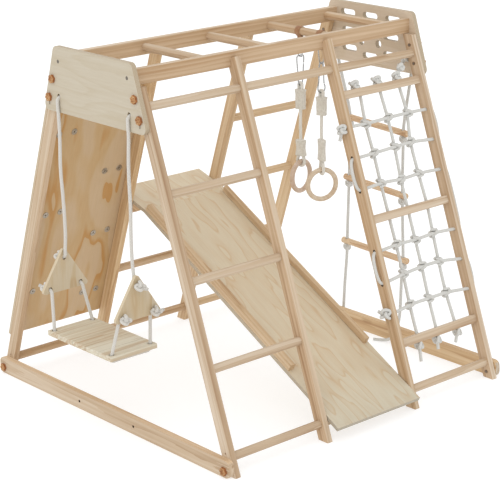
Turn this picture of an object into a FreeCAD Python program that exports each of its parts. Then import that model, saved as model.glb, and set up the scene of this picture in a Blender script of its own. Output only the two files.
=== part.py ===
import FreeCAD, Part
import Sketcher
import math
import os
import re
from types import SimpleNamespace

from FreeCAD import Placement, Rotation, Vector

# Wooden climbing frame. X runs along the top rails with the swing at the low end, the front
# legs stand at negative Y, Z is up and the origin is on the floor under the frame's middle.
driving = {
    # legs: two bays at the sides of a middle bay, front and rear legs leaning together
    "middle_bay": 430,
    "side_bay": 415,
    "foot_half_depth": 675,
    "shoulder_half_depth": 240,
    "leg_thickness": 24,
    "leg_width": 45,
    "leg_edge_radius": 3,
    "inner_leg_tip": 1275,
    # top rails
    "rail_bottom": 1235,
    "rail_height": 54,
    "rail_thickness": 24,
    "rail_outer_half": 204,
    "rail_edge_radius": 3,
    # end plates
    "plate_thickness": 18,
    "plate_bottom": 1084,
    "plate_top": 1314,
    "plate_bottom_half": 289,
    "plate_top_half": 217,
    "plate_corner_radius": 22,
    "plate_edge_radius": 1.5,
    "window_length": 78,
    "window_height": 24,
    "window_top_drop": 40,
    "window_row_pitch": 68,
    "window_top_spread": 119,
    "window_row_spread": 110,
    "window_low_drop": 194,
    "peephole_diameter": 30,
    "peephole_half_spacing": 45,
    "peephole_drop": 142,
    "slit_width": 5,
    "slit_height": 12,
    "slit_drop": 15,
    # dowels: monkey bars, rungs
    "dowel_diameter": 30,
    "socket_depth": 10,
    "dowel_clearance": 0.1,
    "bar_pitch": 294,
    "rung_low": 58,
    "rung_pitch": 277.5,
    # slats of the net panel
    "slat_height": 30,
    "slat_depth": 24,
    "slat_low": 216,
    "slat_pitch": 429,
    "slat_edge_radius": 3,
    # base rails
    "base_rail_height": 62,
    "base_rail_thickness": 22,
    "base_rail_end": 26,
    "base_rail_corner": 22,
    "base_rail_edge": 2,
    "base_hole_half_spacing": 158,
    "base_hole_height": 30,
    "base_hole_diameter": 8,
    # knobs, bolts, tee nuts and screws
    "knob_diameter": 32,
    "knob_thickness": 9,
    "knob_upper_height": 1197,
    "knob_lower_height": 1131,
    "knob_base_height": 24,
    "bolt_diameter": 8,
    "fastener_clearance": 0.1,
    "tee_flange_diameter": 13,
    "tee_flange_thickness": 2,
    "pilot_diameter": 6,
    "pilot_depth": 8,
    "pilot_rise": 12,
    "screw_diameter": 6,
    "screw_length": 30,
    "screw_head_diameter": 13,
    "screw_head_thickness": 4,
    # climbing wall on the outer edges of the rear legs
    "wall_thickness": 12,
    "wall_bottom": 156,
    "wall_top": 1150,
    "wall_edge_radius": 1.5,
    "hold_outer_column": 538,
    "hold_inner_column": 298,
    "hold_bolt_spacing": 66,
    "hold_outer_low": 325,
    "hold_outer_pitch": 320.5,
    "hold_inner_low": 259,
    "hold_inner_pitch": 258.5,
    "hold_length": 116,
    "hold_height": 58,
    "hold_depth": 36,
    "hold_flange_diameter": 25,
    # slide hooked on a rear dowel
    "slide_side_gap": 2,
    "slide_thickness": 15,
    "slide_edge_radius": 2,
    "slide_overhang": 62,
    "flap_length": 170,
    "flap_rise": 50,
    "flap_front": 90,
    "strip_height": 28,
    "strip_width": 18,
    "strip_length": 886,
    "strip_top_gap": 8,
    "strip_inset": 8,
    "strip_edge_radius": 4,
    "cheek_thickness": 18,
    "cheek_height": 36,
    "cheek_front": 72,
    "cheek_nose": 26,
    "cheek_rear": 40,
    "running_clearance": 0.3,
    # swing
    "swing_rope_diameter": 12,
    "swing_knot_radius": 13,
    "swing_rope_bend": 9,
    "rope_hole_diameter": 17,
    "rope_hole_half_spacing": 197,
    "rope_hole_height": 1141,
    "hinge_gap": 0.5,
    "triangle_thickness": 12,
    "triangle_half_base": 103,
    "triangle_height": 160,
    "triangle_top": 603,
    "triangle_corner": 10,
    "triangle_hole_diameter": 17,
    "apex_hole_drop": 41,
    "corner_hole_rise": 15,
    "corner_hole_half_spacing": 65,
    "seat_top": 320,
    "seat_width": 198,
    "seat_length": 368,
    "seat_thickness": 18,
    "plank_gap": 2,
    "plank_edge_radius": 2,
    "seat_hole_inset_across": 16,
    "seat_hole_inset_along": 18,
    "seat_hole_diameter": 21,
    "batten_width": 28,
    "batten_thickness": 14,
    "batten_inset": 44,
    "batten_end_gap": 36,
    # gym rings on the fourth monkey bar
    "ring_rear_place": 13,
    "ring_front_place": 100,
    "ring_front_drop": 11,
    "strap_width": 25,
    "strap_thickness": 3,
    "strap_drop": 40,
    "link_wire": 4,
    "link_width": 36,
    "link_height": 55,
    "link_foot_width": 18,
    "link_corner": 5,
    "hook_wire": 5,
    "hook_width": 29,
    "hook_height": 112,
    "gate_length": 52,
    "gate_gap": 0.4,
    "ring_rope_diameter": 11,
    "eye_clearance": 0.6,
    "upper_eye_leg": 16,
    "upper_sleeve_length": 74,
    "ring_rope_run": 118,
    "lower_sleeve_length": 61,
    "lower_eye_leg": 22,
    "sleeve_width": 38,
    "sleeve_thickness": 22,
    "sleeve_edge_radius": 8,
    "gym_ring_diameter": 130,
    "gym_ring_tube": 18,
    # rope ladder outside the right plate
    "ladder_rope_diameter": 10,
    "ladder_knot_radius": 11,
    "ladder_rope_bend": 8,
    "ladder_rung_diameter": 25,
    "ladder_rung_overhang": 25,
    "ladder_rope_half_spacing": 165,
    "ladder_rung_hole": 15,
    "ladder_rung_edge": 3,
    "ladder_high": 845,
    "ladder_mid": 600,
    "ladder_low": 338,
    "ladder_high_reach": 679,
    "ladder_mid_reach": 675,
    "ladder_low_reach": 674,
    "ladder_high_skew": 21,
    "ladder_mid_skew": 19,
    "ladder_low_skew": 10,
    # climbing net between the two right front legs
    "net_rope_diameter": 10,
    "net_knot_radius": 11,
    "net_rope_bend": 6,
    "net_hole_diameter": 13,
    "net_upright_spacing": 100,
    "net_tail": 40,
    "net_top_stub": 17,
    # cutting tools run past the faces that they cut by this much
    "overrun": 5,
}
barCount = 5
levelCount = 5
plankCount = 5
knobSides = 6
netRowShares = (0.25, 0.5, 0.75)
ringTurnRear = 11
ringTurnFront = -21
sleeveTurn = 24

doc = FreeCAD.newDocument("ClimbingFrame")
sheet = doc.addObject("Spreadsheet::Sheet", "Sizes")
for row, (alias, value) in enumerate(driving.items(), start=1):
    sheet.set(f"A{row}", alias)
    sheet.set(f"B{row}", str(value))
    sheet.setAlias(f"B{row}", alias)
doc.recompute()
d = SimpleNamespace(**{alias: float(sheet.get(alias)) for alias in driving})

alongX = Vector(1, 0, 0)
alongY = Vector(0, 1, 0)
alongZ = Vector(0, 0, 1)
nodes = []


def ex(text):
    return re.sub(r"[a-z_]+", lambda hit: "Sizes." + hit[0] if hit[0] in driving else hit[0], text)


def node(piece, label):
    piece.Label = label
    nodes.append(piece)
    return piece


def box(name, length, width, height, corner, turn=Rotation()):
    piece = doc.addObject("Part::Box", name)
    piece.setExpression("Length", ex(length))
    piece.setExpression("Width", ex(width))
    piece.setExpression("Height", ex(height))
    piece.Placement = Placement(corner, turn)
    return piece


def rod(name, diameter, height, base, axis):
    piece = doc.addObject("Part::Cylinder", name)
    piece.setExpression("Radius", ex(f"({diameter}) / 2"))
    piece.setExpression("Height", ex(height))
    piece.Placement = Placement(base, Rotation(alongZ, axis))
    return piece


def rounded(piece, radius, axis):
    # Rounds the edges of a piece that run along the given direction.
    doc.recompute()
    edges = []
    for number, edge in enumerate(piece.Shape.Edges, start=1):
        if isinstance(edge.Curve, Part.Line) and edge.Curve.Direction.cross(axis).Length < 1e-6:
            edges.append((number, radius, radius))
    result = doc.addObject("Part::Fillet", piece.Name + "Rounded")
    result.Base = piece
    result.Edges = edges
    return result


def softened(piece, radius, chosen):
    # Rounds the edges that the test picks, such as the rim of one face.
    doc.recompute()
    edges = [(number, radius, radius)
             for number, edge in enumerate(piece.Shape.Edges, start=1) if chosen(edge)]
    result = doc.addObject("Part::Fillet", piece.Name + "Softened")
    result.Base = piece
    result.Edges = edges
    return result


def on_face(edge, x):
    return abs(edge.BoundBox.XMin - x) < 1e-6 and abs(edge.BoundBox.XMax - x) < 1e-6


def fused(name, pieces):
    result = doc.addObject("Part::MultiFuse", name)
    result.Shapes = pieces
    return result


def cut(name, piece, tools):
    tool = tools[0] if len(tools) == 1 else fused(name + "Tools", tools)
    result = doc.addObject("Part::Cut", name)
    result.Base = piece
    result.Tool = tool
    return result


def group(name, pieces):
    result = doc.addObject("Part::Compound", name)
    result.Links = pieces
    return result


def solid(name, shape):
    piece = doc.addObject("Part::Feature", name)
    piece.Shape = shape
    piece.Placement = Placement()
    return piece


def rounded_path(points, radii, closed=False):
    # Straight runs joined by tangent arcs; with no radius given an arc takes what its runs allow.
    count = len(points)
    corners = range(count) if closed else range(1, count - 1)
    edges = []
    used = []
    last = None if closed else points[0]
    first = None
    for place in corners:
        before = points[place - 1] - points[place]
        after = points[(place + 1) % count] - points[place]
        turn = math.pi - before.getAngle(after)
        radius = radii
        if radius is None:
            radius = 0.45 * min(before.Length, after.Length) / math.tan(turn / 2)
        used.append(radius)
        before.normalize()
        after.normalize()
        trim = radius * math.tan(turn / 2)
        start = points[place] + before * trim
        end = points[place] + after * trim
        inward = before + after
        inward.normalize()
        middle = points[place] + inward * (radius / math.cos(turn / 2) - radius)
        if last is not None and (start - last).Length > 1e-6:
            edges.append(Part.LineSegment(last, start).toShape())
        if first is None:
            first = start
        edges.append(Part.Arc(start, middle, end).toShape())
        last = end
    finish = first if closed else points[-1]
    if (finish - last).Length > 1e-6:
        edges.append(Part.LineSegment(last, finish).toShape())
    return Part.Wire(edges), used


def tube(name, points, diameter, radius=None, closed=False):
    path, used = rounded_path(points, radius, closed)
    edge = path.Edges[0]
    start = edge.valueAt(edge.FirstParameter)
    section = Part.Wire(Part.makeCircle(diameter / 2, start, edge.tangentAt(edge.FirstParameter)))
    shape = path.makePipeShell([section], True, False)
    if shape.Volume < 0:
        shape.reverse()
    expected = path.Length * math.pi * diameter ** 2 / 4
    print(name, "length", round(path.Length, 1), "volume share", round(shape.Volume / expected, 4),
          "radii", sorted({round(value, 1) for value in used}))
    return shape


# the leaning legs
slope = (d.foot_half_depth - d.shoulder_half_depth) / d.rail_bottom
lean = math.degrees(math.atan(slope))
legRun = d.leg_width * math.hypot(1, slope)
innerLeg = d.middle_bay / 2
outerLeg = innerLeg + d.side_bay
legPlaces = [-outerLeg, -innerLeg, innerLeg, outerLeg]
plateInside = outerLeg + d.leg_thickness / 2
plateOutside = plateInside + d.plate_thickness
levels = [d.rung_low + step * d.rung_pitch for step in range(levelCount)]
endLevels = [levels[0], levels[-1]]
bayLevels = {-1: [levels, endLevels, endLevels], 1: [levels[:1], levels[:3], levels[:4]]}
slatHeights = [d.slat_low + step * d.slat_pitch for step in range(3)]
netRows = [low + share * d.slat_pitch for low in slatHeights[:2] for share in netRowShares]
knobHeights = [d.knob_upper_height, d.knob_lower_height, d.knob_base_height]


screwHole = "screw_diameter + 2 * fastener_clearance"
boltHole = "bolt_diameter + 2 * fastener_clearance"


def leg_middle(height):
    return d.foot_half_depth - slope * height - legRun / 2


def lean_turn(side):
    return Rotation(alongX, side * lean)


def tilted(side, height, across, along):
    # A point on a leg's middle line, moved outward across the leg and up along it.
    angle = math.radians(lean)
    shift = across * math.cos(angle) - along * math.sin(angle)
    return side * (leg_middle(height) + shift), height + across * math.sin(angle) + along * math.cos(angle)


def across_hole(name, diameter, x, y, z, length):
    return rod(name, diameter, length, Vector(x, y, z), alongX)


def slat_box(name, height, width_margin, x, length):
    # A slat lying across the bay, square to the leaning legs.
    half = Vector(0, d.slat_depth / 2 + width_margin, d.slat_height / 2 + width_margin)
    turn = lean_turn(-1)
    corner = Vector(x, -leg_middle(height), height) - turn.multVec(half)
    deep = f"slat_depth + 2 * {width_margin}"
    high = f"slat_height + 2 * {width_margin}"
    return box(name, length, deep, high, corner, turn)


def leg(side, index):
    name = ("Front" if side < 0 else "Rear") + f"Leg{index + 1}"
    x = legPlaces[index]
    face = d.leg_thickness / 2
    outer = index in (0, 3)
    top = "rail_bottom + rail_height" if outer else "inner_leg_tip + overrun"
    height = f"({top}) / cos({lean} deg)"
    turn = lean_turn(side)
    foot = Vector(x - face, side * (d.foot_half_depth + slope * d.overrun), -d.overrun)
    if side > 0:
        foot -= turn.multVec(Vector(0, d.leg_width, 0))
    bar = rounded(box(name + "Bar", "leg_thickness", "leg_width", height, foot, turn), d.leg_edge_radius,
                  turn.multVec(alongZ))
    left = x - face - d.overrun
    span = "leg_thickness + 2 * overrun"
    low = -d.leg_width - d.overrun
    floorStart = -legRun if side > 0 else -d.foot_half_depth - legRun
    tools = [box(name + "Floor", span, "foot_half_depth + 2 * leg_width", "leg_width + overrun",
                 Vector(left, floorStart, low))]
    notch = "foot_half_depth" if outer else "rail_outer_half"
    start = 0 if side > 0 else -float(sheet.get(notch))
    tools.append(box(name + "Notch", span, notch, "rail_height * 3", Vector(left, start, d.rail_bottom)))
    depth = "socket_depth + dowel_clearance + overrun"
    socket = "dowel_diameter + 2 * dowel_clearance"
    for bay, edge in ((index - 1, -1), (index, 1)):
        if not 0 <= bay <= 2:
            continue
        begin = x - face - d.overrun if edge < 0 else x + face - d.socket_depth - d.dowel_clearance
        for number, z in enumerate(bayLevels[side][bay]):
            tools.append(across_hole(f"{name}Socket{bay}{number}", socket, begin, side * leg_middle(z), z,
                                     depth))
        if side < 0 and bay == 2:
            for number, z in enumerate(slatHeights):
                tools.append(slat_box(f"{name}Mortise{number}", z, d.dowel_clearance, begin, depth))
            for number, z in enumerate(netRows):
                y, z = tilted(-1, z, d.net_rope_diameter / 2 + d.running_clearance / 2, 0)
                tools.append(across_hole(f"{name}Lacing{number}", "net_hole_diameter", left, y, z, span))
    if outer:
        for number, z in enumerate(knobHeights):
            tools.append(across_hole(f"{name}Bolt{number}", boltHole, left, side * leg_middle(z), z, span))
        z = d.base_rail_height + d.pilot_rise
        begin = left if index == 0 else x + face - d.pilot_depth
        tools.append(across_hole(name + "Pilot", "pilot_diameter", begin, side * leg_middle(z), z,
                                 "pilot_depth + overrun"))
    label = ("front" if side < 0 else "rear") + f"_leg_{index + 1}"
    node(cut(name, bar, tools), label)


for legSide in (-1, 1):
    for legIndex in range(4):
        leg(legSide, legIndex)

# dowels and slats between the legs
bayNodes = {
    "front_ladder_rungs": ("front", ["left"]),
    "front_panel_dowels": ("front", ["middle", "right"]),
    "wall_dowel": ("rear", ["left"]),
    "rear_middle_dowels": ("rear", ["middle"]),
    "rear_ladder_rungs": ("rear", ["right"]),
}
for label, (row, bays) in bayNodes.items():
    name = label.title().replace("_", "")
    side = -1 if row == "front" else 1
    dowels = []
    for bay in bays:
        column = ["left", "middle", "right"].index(bay)
        start = legPlaces[column] + d.leg_thickness / 2 - d.socket_depth
        spacing = "middle_bay" if bay == "middle" else "side_bay"
        for number, z in enumerate(bayLevels[side][column]):
            dowels.append(rod(f"{name}{column}{number}", "dowel_diameter",
                              f"{spacing} - leg_thickness + 2 * socket_depth",
                              Vector(start, side * leg_middle(z), z), alongX))
    node(group(name, dowels), label)

slats = []
netMiddle = (innerLeg + outerLeg) / 2
uprightPlaces = [netMiddle + step * d.net_upright_spacing for step in (-1, 0, 1)]
ropeShift = d.net_rope_diameter / 2 + d.running_clearance / 2
for number, z in enumerate(slatHeights):
    start = innerLeg + d.leg_thickness / 2 - d.socket_depth
    bar = slat_box(f"SlatBar{number}", z, 0, start, "side_bay - leg_thickness + 2 * socket_depth")
    bar = rounded(bar, d.slat_edge_radius, alongX)
    tools = []
    for place, x in enumerate(uprightPlaces):
        y, low = tilted(-1, z, -ropeShift, -d.slat_height)
        tools.append(rod(f"SlatHole{number}{place}", "net_rope_diameter + 2 * running_clearance",
                         "2 * slat_height", Vector(x, y, low), lean_turn(-1).multVec(alongZ)))
    slats.append(cut(f"Slat{number}", bar, tools))
node(group("NetSlats", slats), "net_slats")

# top rails and monkey bars
barHeight = d.rail_bottom + d.rail_height / 2
barPlaces = [(step - (barCount - 1) / 2) * d.bar_pitch for step in range(barCount)]
railInside = d.rail_outer_half - d.rail_thickness
railMiddle = d.rail_outer_half - d.rail_thickness / 2
for side, label in ((-1, "front_top_rail"), (1, "rear_top_rail")):
    name = label.title().replace("_", "")
    y = railInside if side > 0 else -d.rail_outer_half
    bar = box(name + "Bar", "middle_bay + 2 * side_bay + leg_thickness", "rail_thickness", "rail_height",
              Vector(-plateInside, y, d.rail_bottom))
    bar = rounded(bar, d.rail_edge_radius, alongX)
    tools = []
    for number, x in enumerate(barPlaces):
        begin = Vector(x, side * (railInside + d.socket_depth + d.dowel_clearance), barHeight)
        tools.append(rod(f"{name}Socket{number}", "dowel_diameter + 2 * dowel_clearance",
                         "socket_depth + dowel_clearance + overrun", begin, alongY * -side))
    for number, edge in enumerate((-1, 1)):
        begin = Vector(edge * (plateInside + d.overrun), side * railMiddle, barHeight)
        tools.append(rod(f"{name}Screw{number}", screwHole, "screw_length + overrun", begin, alongX * -edge))
    node(cut(name, bar, tools), label)
for number, x in enumerate(barPlaces, start=1):
    node(rod(f"MonkeyBar{number}", "dowel_diameter", "2 * (rail_outer_half - rail_thickness + socket_depth)",
             Vector(x, -railInside - d.socket_depth, barHeight), alongY), f"monkey_bar_{number}")


def pinned_outline(sketch, corners, bound):
    # A closed polygon whose corners are held at the given places on the sheet.
    count = len(corners)
    for place in range(count):
        sketch.addGeometry(Part.LineSegment(corners[place], corners[(place + 1) % count]), False)
    for place in range(count):
        sketch.addConstraint(Sketcher.Constraint("Coincident", place, 2, (place + 1) % count, 1))
    for place, (first, second) in enumerate(bound):
        corner = corners[place]
        for kind, text, value in (("DistanceX", first, corner.x), ("DistanceY", second, corner.y)):
            number = sketch.addConstraint(Sketcher.Constraint(kind, -1, 1, place, 1, value))
            sketch.setExpression(f"Constraints[{number}]", ex(text))


# end plates: a trapezoid with rounded corners, drilled for knobs, screws and ropes
def window(name, x, y, z, length, height):
    reach = "plate_thickness + 2 * overrun"
    radius = float(sheet.get(height)) / 2
    half = float(sheet.get(length)) / 2 - radius
    pieces = [rod(f"{name}End{edge + 1}", height, reach, Vector(x, y + edge * half, z), alongX)
              for edge in (-1, 1)]
    corner = Vector(x, y - half, z - radius)
    pieces.append(box(name + "Middle", reach, f"{length} - {height}", height, corner))
    return pieces


def end_plate(side, label):
    name = label.title().replace("_", "")
    body = doc.addObject("PartDesign::Body", name + "Body")
    sketch = body.newObject("Sketcher::SketchObject", name + "Sketch")
    plane = [part for part in body.Origin.OriginFeatures if part.Role == "YZ_Plane"][0]
    sketch.AttachmentSupport = [(plane, "")]
    sketch.MapMode = "FlatFace"
    corners = [Vector(-d.plate_bottom_half, d.plate_bottom, 0),
               Vector(d.plate_bottom_half, d.plate_bottom, 0),
               Vector(d.plate_top_half, d.plate_top, 0),
               Vector(-d.plate_top_half, d.plate_top, 0)]
    bound = [("-plate_bottom_half", "plate_bottom"), ("plate_bottom_half", "plate_bottom"),
             ("plate_top_half", "plate_top"), ("-plate_top_half", "plate_top")]
    pinned_outline(sketch, corners, bound)
    pad = body.newObject("PartDesign::Pad", name + "Pad")
    pad.Profile = sketch
    pad.setExpression("Length", ex("plate_thickness"))
    body.Placement = Placement(Vector(plateInside if side > 0 else -plateOutside, 0, 0), Rotation())
    board = rounded(body, d.plate_corner_radius, alongX)
    outside = side * plateOutside
    board = softened(board, d.plate_edge_radius, lambda edge: on_face(edge, outside))
    begin = (plateInside if side > 0 else -plateOutside) - d.overrun
    reach = "plate_thickness + 2 * overrun"
    tools = []
    for edge in (-1, 1):
        for number, z in enumerate(knobHeights[:2]):
            tools.append(across_hole(f"{name}Bolt{number}{edge + 1}", boltHole, begin,
                                     edge * leg_middle(z), z, reach))
        tools.append(across_hole(f"{name}Rope{edge + 1}", "rope_hole_diameter", begin,
                                 edge * d.rope_hole_half_spacing, d.rope_hole_height, reach))
        tools.append(across_hole(f"{name}Screw{edge + 1}", screwHole, begin, edge * railMiddle, barHeight,
                                 reach))
        head = outside - d.screw_head_thickness if side > 0 else outside - d.overrun
        tools.append(across_hole(f"{name}Head{edge + 1}", "screw_head_diameter + 2 * fastener_clearance",
                                 head, edge * railMiddle, barHeight, "screw_head_thickness + overrun"))
        z = d.knob_lower_height - d.slit_drop - d.slit_height
        tools.append(box(f"{name}Slit{edge + 1}", reach, "slit_width", "slit_height",
                         Vector(begin, edge * leg_middle(d.knob_lower_height) - d.slit_width / 2, z)))
    if side > 0:
        upper = d.plate_top - d.window_top_drop
        for place in (-1, 0, 1):
            tools += window(f"{name}Top{place + 1}", begin, place * d.window_top_spread, upper,
                            "window_length", "window_height")
        for step in (1, 2):
            for place in (-1, 1):
                tools += window(f"{name}Row{step}{place + 1}", begin, place * d.window_row_spread,
                                upper - step * d.window_row_pitch, "window_length", "window_height")
        tools += window(name + "Low", begin, 0, d.plate_top - d.window_low_drop,
                        "window_length", "window_height")
        for place in (-1, 1):
            tools.append(across_hole(f"{name}Peep{place + 1}", "peephole_diameter", begin,
                                     place * d.peephole_half_spacing, d.plate_top - d.peephole_drop, reach))
    node(cut(name, board, tools), label)


end_plate(-1, "left_end_plate")
end_plate(1, "right_end_plate")

# base rails outside the end legs
baseHalf = leg_middle(d.knob_base_height) + d.base_rail_end
legSlope = "(foot_half_depth - shoulder_half_depth) / rail_bottom"
knobReach = f"foot_half_depth - {legSlope} * knob_base_height - leg_width / 2 / cos({lean} deg)"
for side, label in ((-1, "left_base_rail"), (1, "right_base_rail")):
    name = label.title().replace("_", "")
    x = plateInside if side > 0 else -plateInside - d.base_rail_thickness
    bar = box(name + "Bar", "base_rail_thickness", f"2 * ({knobReach} + base_rail_end)", "base_rail_height",
              Vector(x, -baseHalf, 0))
    bar = rounded(bar, d.base_rail_corner, alongX)
    outside = side * (plateInside + d.base_rail_thickness)
    bar = softened(bar, d.base_rail_edge, lambda edge: on_face(edge, outside))
    reach = "base_rail_thickness + 2 * overrun"
    tools = []
    for edge in (-1, 1):
        tools.append(across_hole(f"{name}Hole{edge + 1}", "base_hole_diameter", x - d.overrun,
                                 edge * d.base_hole_half_spacing, d.base_hole_height, reach))
        tools.append(across_hole(f"{name}Bolt{edge + 1}", boltHole, x - d.overrun,
                                 edge * leg_middle(d.knob_base_height), d.knob_base_height, reach))
    node(cut(name, bar, tools), label)

# knobs outside, bolts through, tee nuts on the inner faces of the end legs
knobs = []
bolts = []
tees = []
for side in (-1, 1):
    for edge in (-1, 1):
        for number, z in enumerate(knobHeights):
            mark = f"{side + 1}{edge + 1}{number}"
            y = edge * leg_middle(z)
            board = "base_rail_thickness" if number == 2 else "plate_thickness"
            outside = plateInside + float(sheet.get(board))
            knob = doc.addObject("Part::Prism", "Knob" + mark)
            knob.Polygon = knobSides
            knob.setExpression("Circumradius", ex("knob_diameter / 2"))
            knob.setExpression("Height", ex("knob_thickness"))
            knob.Placement = Placement(Vector(side * outside, y, z), Rotation(alongZ, alongX * side))
            knobs.append(knob)
            long = f"{board} + leg_thickness + tee_flange_thickness"
            bolts.append(rod("Bolt" + mark, "bolt_diameter", long, Vector(side * outside, y, z),
                             alongX * -side))
            inside = Vector(side * (outerLeg - d.leg_thickness / 2), y, z)
            inward = alongX * -side
            flange = rod("TeeFlange" + mark, "tee_flange_diameter", "tee_flange_thickness", inside, inward)
            bore = rod("TeeBore" + mark, boltHole, "tee_flange_thickness + 2 * overrun",
                       inside - inward * d.overrun, inward)
            tees.append(cut("TeeNut" + mark, flange, [bore]))
node(group("KnobNuts", knobs), "knob_nuts")
node(group("FrameBolts", bolts), "frame_bolts")
node(group("TeeNuts", tees), "tee_nuts")
screws = []
for side in (-1, 1):
    for edge in (-1, 1):
        mark = f"{side + 1}{edge + 1}"
        place = Vector(side * plateOutside, edge * railMiddle, barHeight)
        head = rod("ScrewHead" + mark, "screw_head_diameter", "screw_head_thickness", place, alongX * -side)
        shank = rod("ScrewShank" + mark, "screw_diameter", "plate_thickness + screw_length", place,
                    alongX * -side)
        screws.append(fused("Screw" + mark, [head, shank]))
node(group("RailScrews", screws), "rail_screws")

# climbing wall with grips on its rear face, bolted from the front
wallTurn = lean_turn(1)
wallFront = Vector(-plateInside, d.foot_half_depth - slope * d.wall_bottom, d.wall_bottom)
wallLong = f"(wall_top - wall_bottom) / cos({lean} deg)"
panel = box("WallPanel", "side_bay + leg_thickness", "wall_thickness", wallLong, wallFront, wallTurn)
panel = rounded(panel, d.wall_edge_radius, wallTurn.multVec(alongZ))
gripPlaces = []
for step in range(3):
    gripPlaces.append((-d.hold_outer_column, d.hold_outer_low + step * d.hold_outer_pitch))
    gripPlaces.append((-d.hold_inner_column, d.hold_inner_low + step * d.hold_inner_pitch))
outward = wallTurn.multVec(alongY)
wallHoles = []
grips = []
gripBolts = []
for number, (x, z) in enumerate(gripPlaces):
    front = Vector(x, d.foot_half_depth - slope * z, z)
    rear = front + outward * d.wall_thickness
    grip = doc.addObject("Part::Ellipsoid", f"Grip{number}")
    grip.setExpression("Radius1", ex("hold_depth"))
    grip.setExpression("Radius2", ex("hold_length / 2"))
    grip.setExpression("Radius3", ex("hold_height / 2"))
    grip.Angle1 = 0
    grip.Placement = Placement(rear, Rotation(alongX, outward.cross(alongX), outward, "ZXY"))
    gripHoles = []
    for edge in (-1, 1):
        mark = f"{number}{edge + 1}"
        start = front + alongX * edge * d.hold_bolt_spacing / 2
        wallHoles.append(rod("WallHole" + mark, boltHole, "wall_thickness + 2 * overrun",
                             start - outward * d.overrun, outward))
        gripHoles.append(rod("GripHole" + mark, boltHole,
                             "wall_thickness + hold_depth / 2 + fastener_clearance", start, outward))
        flange = rod("GripFlange" + mark, "hold_flange_diameter", "tee_flange_thickness",
                     start - outward * d.tee_flange_thickness, outward)
        shank = rod("GripShank" + mark, "bolt_diameter", "wall_thickness + hold_depth / 2", start, outward)
        gripBolts.append(fused("GripBolt" + mark, [flange, shank]))
    grips.append(cut(f"GripDrilled{number}", grip, gripHoles))
node(cut("ClimbingWall", panel, wallHoles), "climbing_wall")
node(group("ClimbingHolds", grips), "climbing_holds")
node(group("HoldBolts", gripBolts), "hold_bolts")

# slide: a flap over the rear dowel, a board down to the front dowel, strips along both sides
dowelRadius = d.dowel_diameter / 2
rearDowel = Vector(0, leg_middle(levels[2]), levels[2])
frontDowel = Vector(0, -leg_middle(levels[0]), levels[0])
flapAngle = math.asin(d.flap_rise / d.flap_length)
surfaceRise = dowelRadius + d.running_clearance + d.slide_thickness


def slope_frame(angle):
    return Vector(0, math.cos(angle), math.sin(angle)), Vector(0, -math.sin(angle), math.cos(angle))


flapUp, flapOut = slope_frame(flapAngle)
bend = rearDowel + flapOut * surfaceRise - flapUp * d.flap_front
reachBack = bend - frontDowel
boardAngle = math.atan2(reachBack.z, reachBack.y) - math.asin(surfaceRise / reachBack.Length)
boardUp, boardOut = slope_frame(boardAngle)
boardTurn = Rotation(alongX, math.degrees(boardAngle))
flapTurn = Rotation(alongX, math.degrees(flapAngle))
boardRun = math.sqrt(reachBack.Length ** 2 - surfaceRise ** 2) + d.slide_overhang
slideHalf = innerLeg - d.leg_thickness / 2 - d.slide_side_gap
slideWide = "middle_bay - leg_thickness - 2 * slide_side_gap"
mitreTurn = Rotation(alongX, math.degrees(boardAngle + flapAngle) / 2)
mitreUp, mitreOut = slope_frame((boardAngle + flapAngle) / 2)
mitreBase = bend - mitreOut * (d.slide_thickness + d.overrun) - alongX * (slideHalf + d.overrun)
mitre = ("middle_bay + 2 * overrun", "slide_thickness + overrun", "2 * (slide_thickness + overrun)")
boardFoot = bend - boardUp * boardRun - boardOut * d.slide_thickness - alongX * slideHalf
boardLong = doc.addObject("Part::Box", "SlideBoardBar")
boardLong.setExpression("Length", ex(slideWide))
boardLong.Width = boardRun + d.slide_thickness
boardLong.setExpression("Height", ex("slide_thickness"))
boardLong.Placement = Placement(boardFoot, boardTurn)
boardBar = rounded(boardLong, d.slide_edge_radius, boardUp)
boardCut = box("SlideBoardMitre", *mitre, mitreBase, mitreTurn)
node(cut("SlideBoard", boardBar, [boardCut]), "slide_board")
flapFoot = bend - flapUp * d.slide_thickness - flapOut * d.slide_thickness - alongX * slideHalf
flapBar = box("SlideFlapBar", slideWide, "flap_length + slide_thickness", "slide_thickness", flapFoot,
              flapTurn)
flapBar = rounded(flapBar, d.slide_edge_radius, flapUp)
flapCut = box("SlideFlapMitre", *mitre, mitreBase - mitreUp * (d.slide_thickness + d.overrun), mitreTurn)
node(cut("SlideFlap", flapBar, [flapCut]), "slide_flap")
strips = []
cheeks = []
taperAngle = flapAngle - math.atan2(d.cheek_height, d.cheek_front - d.cheek_nose)
taperTurn = Rotation(alongX, math.degrees(taperAngle))
taperOut = slope_frame(taperAngle)[1]
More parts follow.
